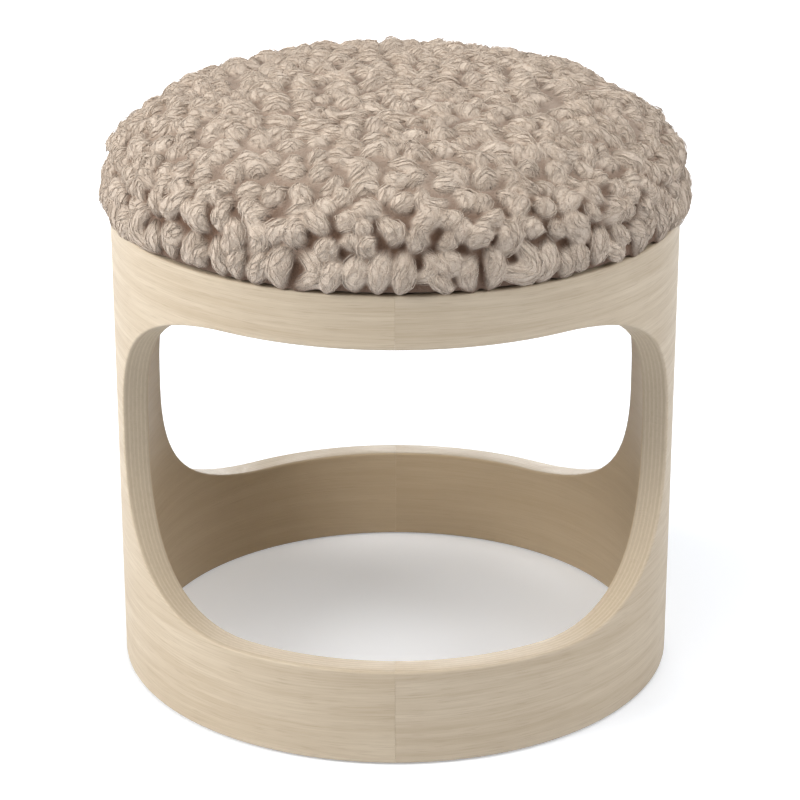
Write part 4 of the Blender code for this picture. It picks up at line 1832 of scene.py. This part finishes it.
@dataclass(frozen=True)
class PileLocks:
    """The pile: plump locks of curly wool that grow together over a closed base.

    A lock is a path over the unrolled crest line, by the way down the line, the way round and
    the depth under it, with an oval section carried along it.
    """

    form: CushionForm
    swell: Swell
    full_radius: float = 0.2086
    full_crown: float = 0.4316
    full_power: float = 2.25
    fullness: float = 2.50
    side_draw: float = 0.0042
    crest_points: int = 600
    seed: int = 7
    stations: int = 9
    sides: int = 10
    crown_count: int = 645
    crown_end: float = 0.3675
    crown_shakes: Shakes = Shakes(0.55, 0.14, 0.08, 0.22, 0.42, 0.0010)
    number_shake: float = 3.0
    down_shake: float = 0.20
    round_shake: float = 0.22
    nap_shake: float = 0.9
    side_start: float = 0.185
    side_end: float = 0.215
    width: float = 0.0076
    thick: float = 0.0066
    length: float = 0.0230
    sink: float = 0.0062
    side_width: float = 0.0010
    side_length: float = 0.0030
    rim_count: int = 66
    rim_height: float = 0.3568
    rim_width: float = 0.0084
    rim_length: float = 0.0300
    rim_shakes: Shakes = Shakes(0.30, 0.13, 0.06, 0.12, 0.20, 0.0006)
    rim_place_shake: float = 0.17
    rim_shake: float = 0.0024
    rim_play: float = 0.0036
    settle_rounds: int = 26
    settle_pace: float = 0.40
    closeness: float = 0.94
    tip_height: float = 0.3395
    base_depth: float = 0.0060
    side_depth: float = 0.0078
    inner_depth: float = 0.0090
    inner_foot: float = 0.1852
    bottom: float = 0.3409
    below: float = 0.012
    drum_clear: float = 0.2007
    least_reach: float = 0.012
    voxel: float = 0.0015
    soften: int = 3
    taper: float = 0.62
    near_rounds: int = 3
    wide_rounds: int = 14
    batches: int = 40
    swell_length: float = 0.262
    fixed_height: float = 0.345
    free_height: float = 0.372
    depth_range: float = 0.010
    hollow_range: float = 0.006
    strands: int = 12
    strand_stations: int = 9
    strand_radius: float = 0.00032
    strand_hollow: float = 0.38
    strand_run: tuple[float, float] = (0.09, 0.91)
    strand_fan: float = 1.3
    strand_crimps: tuple[float, float] = (1.6, 2.8)
    strand_turns: tuple[float, float] = (0.5, 1.5)
    strand_sway: float = 0.24
    strand_rise: float = 0.07
    strand_sizes: tuple[float, float] = (0.75, 1.25)
    top_end: float = 0.145

    @property
    def full_form(self) -> CushionForm:
        """The cushion's form with the fuller shoulder that the pile stands out to."""
        return replace(
            self.form,
            radius=self.full_radius,
            crown=self.full_crown,
            crown_power=self.full_power,
            crown_fullness=self.fullness,
        )

    @cached_property
    def crest(self) -> Line:
        """The line that the locks' crests touch: the dome, then nearly straight down.

        Returns:
            The line, closely and evenly spaced.
        """
        turn = np.linspace(0, QUARTER_TURN, 30)[1:]
        radius = self.full_radius - self.side_draw * (1 - np.cos(turn))
        drop = self.bottom - self.below - self.form.widest
        side = np.stack([radius, self.form.widest + drop * np.sin(turn)], axis=1)
        line = Line(np.concatenate([self.full_form.dome(0.0, self.crest_points // 2), side]))
        even = np.linspace(0, line.walked[-1], self.crest_points)
        return Line(np.stack(line.read(even, line.points), axis=1))

    def nap_at(self, x: np.ndarray, y: np.ndarray) -> np.ndarray:
        """Gives the way the wool lies at a place: three long waves added, in radians."""
        waves = 2.4 * np.sin(17 * x + 4 * y), 2.1 * np.sin(21 * y - 6 * x + 1.3), 1.4 * np.sin(39 * (x - y))
        return waves[0] + waves[1] + waves[2]

    def scattered(self) -> Locks:
        """Spreads the locks evenly over the crown, each lying its own way.

        The share of the area over a lock grows evenly with its number, and its azimuth by the
        golden turn, both shaken a little. The way it lies follows a slow turning of the nap,
        and down the side it comes to hang.

        Returns:
            The locks of the crown.
        """
        chance = np.random.default_rng(self.seed)
        count, shakes = self.crown_count, self.crown_shakes
        length = self.crest.walked
        radius, height = self.crest.points.T
        steps = np.hypot(np.diff(radius), np.diff(height))
        area = np.concatenate([[0], np.cumsum((radius[1:] + radius[:-1]) / 2 * steps)])
        end = np.interp(self.crown_end, height[::-1], area[::-1])
        number = np.arange(count) + 0.5 + chance.normal(0, self.number_shake, count)
        down = np.interp(np.clip(number / count, 0.0001, 1) * end, area, length)
        spacing = math.sqrt(FULL_TURN * end / count)
        down = np.maximum(down + chance.normal(0, spacing * self.down_shake, count), 0.002)
        reach = np.maximum(np.interp(down, length, radius), 0.01)
        azimuth = chance.normal(0, spacing * self.round_shake, count) / reach
        azimuth = np.arange(count) * GOLDEN_TURN + azimuth
        x, y = reach * np.cos(azimuth), reach * np.sin(azimuth)
        side = smooth_step(down, self.side_start, self.side_end)
        lying = self.nap_at(x, y) + chance.normal(0, self.nap_shake, count)
        return Locks(
            down,
            azimuth,
            lying * (1 - side) + chance.normal(0, shakes.turn, count) * side,
            (self.width + self.side_width * side) * np.exp(chance.normal(0, shakes.width, count)),
            self.thick * np.exp(chance.normal(0, shakes.thick, count)),
            (self.length + self.side_length * side) * np.exp(chance.normal(0, shakes.length, count)),
            chance.normal(0, shakes.bend, count),
            chance.normal(0, shakes.lift, count),
            self.sink * np.exp(chance.normal(0, shakes.sink, count)),
            0.5 * side,
        )

    def hung(self) -> Locks:
        """Hangs one row of locks round the rim.

        Returns:
            Its locks.
        """
        chance = np.random.default_rng(self.seed + 10)
        count, shakes = self.rim_count, self.rim_shakes
        place = np.arange(count) + chance.normal(0, self.rim_place_shake, count)
        size = np.exp(chance.normal(0, shakes.width, count))
        return Locks(
            self.crest.way_at(self.rim_height) + chance.normal(0, self.rim_shake, count),
            place * FULL_TURN / count,
            chance.normal(0, shakes.turn, count),
            self.rim_width * size,
            self.thick * np.exp(chance.normal(0, shakes.thick, count)),
            self.rim_length * np.exp(chance.normal(0, shakes.length, count)),
            chance.normal(0, shakes.bend, count),
            chance.normal(0, shakes.lift, count),
            self.sink * np.exp(chance.normal(0, shakes.sink, count)),
            np.ones(count),
        )

    @cached_property
    def locks(self) -> Locks:
        """The locks of the crown and the rim, once they have pushed each other apart.

        Each lock is three beads in a row. Beads of two locks that are nearer than their half
        widths together push each other off, which moves and turns the locks along the surface,
        over and over. A hanging lock keeps near its row.

        Returns:
            All the locks.
        """
        locks = self.scattered().followed_by(self.hung())
        line = self.crest
        start = locks.down.copy()
        play = np.where(locks.hanging == 1, self.rim_play, 1.0)
        foot_of_line = line.way_at(self.tip_height)
        reach = np.maximum(0.5 * locks.length - 0.75 * locks.width, 0.001)
        beads = reach[:, None] * np.array([-1.0, 0.0, 1.0])
        owner = np.repeat(np.arange(len(start)), 3)
        others = owner[:, None] != owner[None]
        half = np.repeat(locks.width, 3) * self.closeness
        wanted = (half[:, None] + half[None]).astype(np.float32)
        for _ in range(self.settle_rounds):
            cos, sin = np.cos(locks.turn)[:, None], np.sin(locks.turn)[:, None]
            down = np.abs(locks.down[:, None] + beads * cos)
            foot = np.maximum(line.read(locks.down, line.points)[0], self.least_reach)
            angle = locks.azimuth[:, None] + beads * sin / foot[:, None]
            far, height = line.read(down, line.points)
            points = np.stack([far * np.cos(angle), far * np.sin(angle), height], axis=-1)
            points = points.reshape(-1, 3).astype(np.float32)
            square = (points**2).sum(axis=1)
            apart = np.sqrt(np.maximum(square[:, None] + square[None] - 2 * points @ points.T, TINY))
            press = np.where(others, np.clip(wanted - apart, 0, None), 0.0) / apart
            force = (points * press.sum(axis=1)[:, None] - press @ points).reshape(-1, 3, 3)
            outward, upward = line.read(locks.down, line.slope)
            away = np.cos(locks.azimuth), np.sin(locks.azimuth)
            downward = np.stack([away[0] * outward, away[1] * outward, upward], axis=1)
            around = np.stack([-away[1], away[0], np.zeros(len(foot))], axis=1)
            total = force.mean(axis=1) * self.settle_pace
            twist = ((force[:, 2] - force[:, 0]) * (around * cos - downward * sin)).sum(axis=1)
            locks.down = locks.down + (total * downward).sum(axis=1)
            locks.down = np.clip(np.abs(locks.down), start - play, start + play)
            locks.down = np.minimum(locks.down, foot_of_line - 0.5 * locks.length * np.abs(cos[:, 0]))
            locks.azimuth = locks.azimuth + (total * around).sum(axis=1) / foot
            locks.turn = locks.turn + self.settle_pace * twist / (4 * reach)
        return locks

    def frames(self, locks: Locks, share: np.ndarray) -> tuple[np.ndarray, np.ndarray, np.ndarray]:
        """Works out where each lock runs, and which way is across it and up from it.

        Along a lock, t runs from 0 to 1. The middle line runs from end to end, bends aside as a
        bow, and lies as deep as its half thickness, with its ends sunk along 1 - sin(pi t)^0.8.

        Args:
            locks: The locks.
            share: The values of t.

        Returns:
            The middle lines, as locks x stations x 3, and the unit vectors across and up.
        """
        line = self.crest
        full = np.sin(math.pi * share)
        along = locks.length[:, None] * (share - 0.5)
        aside = locks.length[:, None] * locks.bend[:, None] * (full - 0.6)
        cos, sin = np.cos(locks.turn)[:, None], np.sin(locks.turn)[:, None]
        way_down = np.abs(locks.down[:, None] + along * cos - aside * sin)
        way_round = along * sin + aside * cos
        dip = (1 - full**0.8) * np.where(share < 0.5, 1.0, 1.0 - 0.75 * locks.hanging[:, None])
        depth = locks.thick[:, None] - locks.lift[:, None] + locks.sink[:, None] * dip
        foot, base = line.read(way_down, line.points)
        out_z, fall = line.read(way_down, line.slope)
        out_x = -fall
        angle = locks.azimuth[:, None] + way_round / np.maximum(foot, self.least_reach)
        far = foot - depth * out_x
        lines = np.stack([far * np.cos(angle), far * np.sin(angle), base - depth * out_z], axis=-1)
        outward = np.stack([out_x * np.cos(angle), out_x * np.sin(angle), out_z], axis=-1)
        return lines, *crossed(lines, outward)

    def lock_tubes(self) -> Surface:
        """Carries an oval section along each lock, its size following sin(pi t)^0.62.

        Returns:
            Their surface.
        """
        share = (1 - np.cos(np.linspace(0, math.pi, self.stations))) / 2
        lines, across, upward = self.frames(self.locks, share)
        size = np.sin(math.pi * share) ** self.taper
        turn = np.linspace(0, FULL_TURN, self.sides, endpoint=False)
        wide = (self.locks.width[:, None] * size)[..., None, None] * np.sin(turn)[:, None]
        high = (self.locks.thick[:, None] * size)[..., None, None] * np.cos(turn)[:, None]
        return bundle(lines[:, :, None] + across[:, :, None] * wide + upward[:, :, None] * high)

    def strand_tubes(self, locks: Locks, number: int) -> Surface:
        """Lays wavy strands of wool on the upper half of each lock.

        A strand starts at its own angle round the lock's section, turns round the lock as a
        spiral does, and sways along a sine to both sides, just proud of the lock. Its own
        thickness follows sin(pi u)^0.4.

        Args:
            locks: The locks.
            number: Which batch it is, for its own chance.

        Returns:
            The strands' surface.
        """
        chance = np.random.default_rng(self.seed + 30 + number)
        shape = (len(locks.down), self.strands)
        share = np.linspace(*self.strand_run, self.strand_stations)
        lines, across, upward = self.frames(locks, share)
        size = np.sin(math.pi * share) ** self.taper
        phase = chance.uniform(0, FULL_TURN, shape)[..., None]
        crimps = chance.uniform(*self.strand_crimps, shape)[..., None]
        fan = np.linspace(-self.strand_fan, self.strand_fan, self.strands)
        start = fan + chance.normal(0, 0.14, shape)
        wave = FULL_TURN * crimps * share + phase
        way = np.where(chance.random(shape[0]) < 0.5, -1.0, 1.0)
        spiral = way * chance.uniform(*self.strand_turns, shape[0])
        drift = (spiral[:, None] + chance.normal(0, 0.25, shape))[..., None] * (share - 0.5)
        angle = start[..., None] + self.strand_sway * np.sin(wave) + drift
        rise = self.strand_rise * np.cos(wave + 0.8)
        proud = size * (1.0 + rise + chance.normal(0, 0.03, shape)[..., None])
        wide = locks.width[:, None, None] * proud * np.sin(angle)
        high = locks.thick[:, None, None] * proud * np.cos(angle)
        middle = lines[:, None]
        paths = middle + across[:, None] * wide[..., None] + upward[:, None] * high[..., None]
        outward = (paths - middle).reshape(-1, self.strand_stations, 3)
        paths = paths.reshape(outward.shape)
        beside, above = crossed(paths, outward)
        run = np.linspace(0, 1, self.strand_stations)
        thin = chance.uniform(*self.strand_sizes, len(paths))[:, None]
        radius = self.strand_radius * thin * np.clip(np.sin(math.pi * run), 0, 1) ** 0.4
        turn = np.linspace(0, FULL_TURN, 3, endpoint=False)[:, None]
        ring = beside[:, :, None] * np.sin(turn) + above[:, :, None] * np.cos(turn)
        return bundle(paths[:, :, None] + ring * radius[..., None, None])

    def base_solid(self) -> Surface:
        """Gives the closed body that the locks grow from, as a turned profile.

        Returns:
            Its surface.
        """
        dome = self.full_form.dome(self.base_depth, 60)
        outer = self.form.radius - self.side_depth
        dome[:, 0] -= smooth_step(dome[:, 0], 0.150, outer) * (self.side_depth - self.base_depth)
        side = [[outer, 0.3560], [outer, 0.3480], [outer - 0.0008, 0.3436], [outer - 0.003, self.bottom]]
        floor = [[outer * 0.8, self.bottom], [outer * 0.4, self.bottom], [0.0, self.bottom]]
        return turned_upright(np.concatenate([dome, side, floor]), 180)

    def hollow(self) -> Surface:
        """Gives the body of the backing and what is in it, which the pile is cut out with.

        Returns:
            Its surface.
        """
        dome = self.form.dome(self.inner_depth, 48)
        side = self.form.side(self.inner_depth, self.inner_foot, self.bottom - 0.0006, 16)
        floor = [[self.inner_foot, self.bottom - self.below], [0.0, self.bottom - self.below]]
        return turned_upright(np.concatenate([dome, side, floor]), 144)

    def clear_of_drum(self, points: np.ndarray) -> np.ndarray:
        """Moves points that lie lower than the drum's rim outside it, or up on it.

        Args:
            points: The points, as n x 3.

        Returns:
            The moved points.
        """
        reach = np.hypot(points[:, 0], points[:, 1])
        rest = self.bottom - 0.0003
        outside = (points[:, 2] < rest) & (reach > self.drum_clear - 0.0015)
        flat = np.where(outside, np.maximum(reach, self.drum_clear), reach) / np.maximum(reach, TINY)
        height = np.where(outside, points[:, 2], np.maximum(points[:, 2], rest))
        return np.concatenate([points[:, :2] * flat[:, None], height[:, None]], axis=1)

    def grown_together(self) -> bpy.types.Mesh:
        """Merges the locks and the base with a voxel remesh, softens them and cuts the hollow.

        Returns:
            The closed mesh of the pile.
        """
        start = joined([self.base_solid(), self.lock_tubes()])
        merged = placed("pile_start", mesh_of("pile_start", start, math.pi))
        remeshed(merged, self.voxel, self.soften)
        move_vertices(merged.data, self.clear_of_drum(vertex_points(merged.data)))
        hollow = placed("pile_hollow", mesh_of("pile_hollow", self.hollow(), math.pi))
        cut = merged.modifiers.new("cut_hollow", "BOOLEAN")
        cut.solver = "FAST"
        cut.operation = "DIFFERENCE"
        cut.object = hollow
        mesh = applied(merged)
        bpy.data.objects.remove(merged)
        bpy.data.objects.remove(hollow)
        return mesh

    def swollen(self, points: np.ndarray) -> tuple[np.ndarray, np.ndarray]:
        """Moves points of the pile out with the swollen cover, but not those at its foot.

        Args:
            points: The points, as n x 3.

        Returns:
            The moved points, and how deep each lay under the nearest place of the crest line.
        """
        line = Line(self.crest.points[::2])
        place = np.stack([np.hypot(points[:, 0], points[:, 1]), points[:, 2]], axis=1)
        nearest = [
            np.argmin(((part[:, None] - line.points[None]) ** 2).sum(axis=-1), axis=1)
            for part in np.array_split(place, self.batches)
        ]
        nearest = np.concatenate(nearest)
        outward = np.stack([-line.slope[:, 1], line.slope[:, 0]], axis=1)[nearest]
        depth = -((place - line.points[nearest]) * outward).sum(axis=1)
        azimuth = np.arctan2(points[:, 1], points[:, 0])
        free = smooth_step(points[:, 2], self.fixed_height, self.free_height)
        level = np.clip(line.walked[nearest] / self.swell_length, 0, 1)
        out = self.swell.at(level, azimuth) * free
        flat = out * outward[:, 0]
        move = np.stack([flat * np.cos(azimuth), flat * np.sin(azimuth), out * outward[:, 1]], axis=1)
        return points + move, depth

    def make_body(self, wool: bpy.types.Material) -> None:
        """Makes the merged locks, and marks how deep and how hollow each point lies, which the wool turns
        into painted shade.

        Args:
            wool: The wool.
        """
        mesh = self.grown_together()
        points, depth = self.swollen(vertex_points(mesh))
        move_vertices(mesh, points)
        near = averaged(mesh, depth, self.near_rounds)
        wide = averaged(mesh, near, self.wide_rounds)
        # these two marks drive the wool's painted shade: darker in the hollows and deep down in the pile
        mark_vertices(mesh, "pile_depth", np.clip(near / self.depth_range, 0, 1))
        mark_vertices(mesh, "pile_hollow", np.clip(0.5 + (near - wide) / self.hollow_range, 0, 1))
        mesh.polygons.foreach_set("use_smooth", np.ones(len(mesh.polygons), dtype=bool))
        mesh.name = "pile_mesh"
        make_piece("pile_locks", mesh, wool)

    def make_strands(self, wool: bpy.types.Material) -> None:
        """Makes the strands that lie on the locks, in three pieces from the crown down.

        Args:
            wool: The wool.
        """
        top = self.locks.down < self.top_end
        rim = self.locks.hanging == 1
        for number, (name, kept) in enumerate((("top", top), ("shoulder", ~top & ~rim), ("rim", rim))):
            surface = self.strand_tubes(self.locks.chosen(kept), number)
            surface.points, depth = self.swollen(self.clear_of_drum(surface.points))
            # the strands take the painted shade of their depth, and one even hollow mark
            surface.marks["pile_depth"] = np.clip(depth / self.depth_range, 0, 1)
            surface.marks["pile_hollow"] = np.full(len(depth), self.strand_hollow)
            mesh = mesh_of(f"pile_strands_{name}_mesh", surface, math.pi)
            make_piece(f"pile_strands_{name}", mesh, wool)

    def build(self) -> None:
        """Makes the pile: its merged locks and their strands."""
        wool = CurlyWool("curly_wool").build()
        self.make_body(wool)
        self.make_strands(wool)


@dataclass(frozen=True)
class SoftBox:
    """A round lamp with a soft edge, turned towards the middle of the ottoman."""

    name: str
    place: tuple[float, float, float]
    size: float
    power: float
    colour: Colour = (1.0, 1.0, 1.0)
    aim: tuple[float, float, float] = (0, 0, 0.2)

    def build(self) -> None:
        """Puts the lamp in."""
        lamp = bpy.data.lights.new(self.name, "AREA")
        lamp.shape = "DISK"
        lamp.size = self.size
        lamp.energy = self.power
        lamp.color = self.colour
        held = placed(self.name, lamp)
        held.location = self.place
        held.rotation_mode = "QUATERNION"
        held.rotation_quaternion = (held.location - Vector(self.aim)).to_track_quat("Z", "Y")


@dataclass(frozen=True)
class Studio:
    """The pale floor, the lamps, the soft light all round and the camera."""

    lens: float = 130.07
    sensor: float = 36.0
    camera_place: tuple[float, float, float] = (0.0033, -1.9416, 0.9639)
    camera_tilt: float = 68.24
    floor_half: float = 9.0
    floor_colour: Colour = (0.76, 0.79, 0.84)
    floor_glow: float = 0.316
    far_glow: float = 0.80
    glow_reaches: tuple[float, float, float] = (0.30, 1.10, 3.60)
    ambient_colour: Colour = (1.0, 0.99, 0.97)
    ambient: float = 0.10
    lamps: tuple[SoftBox, ...] = (
        SoftBox("left_softbox", (-2.2, -1.2, 1.9), 1.4, 42, (1.0, 0.98, 0.95)),
        SoftBox("top_softbox", (0.2, -0.2, 2.6), 1.6, 30),
        SoftBox("right_softbox", (2.3, -1.0, 1.5), 1.4, 35),
        SoftBox("window_softbox", (-1.3, -2.4, 1.4), 1.0, 10),
        SoftBox("side_softbox", (-2.8, -0.2, 1.2), 1.2, 36, (1.0, 0.99, 0.97)),
        SoftBox("back_softbox", (0.3, 2.8, 0.9), 1.4, 33),
    )

    def build(self) -> None:
        """Makes the whole set."""
        bpy.context.scene.view_settings.view_transform = "Standard"
        self.make_camera()
        self.make_floor()
        self.make_world()
        for lamp in self.lamps:
            lamp.build()

    def make_camera(self) -> None:
        """Stands the camera at the photograph's viewing angle."""
        camera = bpy.data.cameras.new("camera")
        camera.lens = self.lens
        camera.sensor_width = self.sensor
        camera.clip_start = 0.05
        camera.clip_end = 60
        held = placed("camera", camera)
        held.location = self.camera_place
        held.rotation_euler = (math.radians(self.camera_tilt), 0, 0)
        bpy.context.scene.camera = held

    def seen_directly(self, bench: Bench) -> Socket:
        """Gives 1 for rays from the camera, a mirror or glass, and 0 for soft light.

        Args:
            bench: The bench on the material's nodes.

        Returns:
            The value's socket.
        """
        rays = bench.add("LightPath").outputs
        mirror = bench.calc("MAXIMUM", rays["Is Camera Ray"], rays["Is Glossy Ray"])
        return bench.calc("MAXIMUM", mirror, rays["Is Transmission Ray"])

    def make_floor(self) -> None:
        """Lays the pale floor, which looks white where nothing shades it."""
        half = self.floor_half
        corners = [(-half, -half, 0), (half, -half, 0), (half, half, 0), (-half, half, 0)]
        mesh = bpy.data.meshes.new("studio_floor")
        mesh.from_pydata(corners, [], [(0, 1, 2, 3)])
        mesh.materials.append(PaleFloor("pale_floor", self).build())
        placed("studio_floor", mesh)

    def make_world(self) -> None:
        """Fills the room with soft light, white where it is seen directly."""
        world = bpy.data.worlds.new("soft_room")
        bpy.context.scene.world = world
        world.use_nodes = True
        bench = Bench(world.node_tree)
        soft = world.node_tree.nodes["Background"]
        bench.fill(soft, {"Color": opaque(self.ambient_colour), "Strength": self.ambient})
        white = bench.add("Background", {"Color": (1, 1, 1, 1), "Strength": 1.0})
        sockets = {0: self.seen_directly(bench), 1: soft.outputs[0], 2: white.outputs[0]}
        blend = bench.add("MixShader", sockets).outputs[0]
        bench.fill(world.node_tree.nodes["World Output"], {"Surface": blend})


@dataclass(frozen=True)
class PaleFloor(Finish):
    """The studio's floor, lit from within for the camera only, more the farther out."""

    studio: Studio

    def inputs(self, bench: Bench) -> dict:
        """Adds the glow by the distance from the ottoman.

        Args:
            bench: The bench on the material's nodes.

        Returns:
            The shader's inputs.
        """
        studio = self.studio
        near, middle, far = studio.glow_reaches
        away = bench.add("VectorMath", {0: bench.here()}, operation="LENGTH").outputs["Value"]
        inner = bench.span(away, near, middle, studio.floor_glow, studio.far_glow)
        outer = bench.span(away, middle, far, 0.0, 1.0 - studio.far_glow)
        glow = bench.calc("MULTIPLY", studio.seen_directly(bench), bench.calc("ADD", inner, outer))
        return {
            "Base Color": opaque(studio.floor_colour),
            "Roughness": 0.9,
            "Specular IOR Level": 0.0,
            "Emission Color": (1, 1, 1, 1),
            "Emission Strength": glow,
        }


def main() -> None:
    """Builds the ottoman and its set in order, from the floor up."""
    logging.basicConfig(level=logging.INFO, format="%(name)s %(message)s")
    for part in (Studio(), FloorFeet(), BentDrum(), SeatFrame(), PileCushion()):
        part.build()


if __name__ == "__main__":
    main()
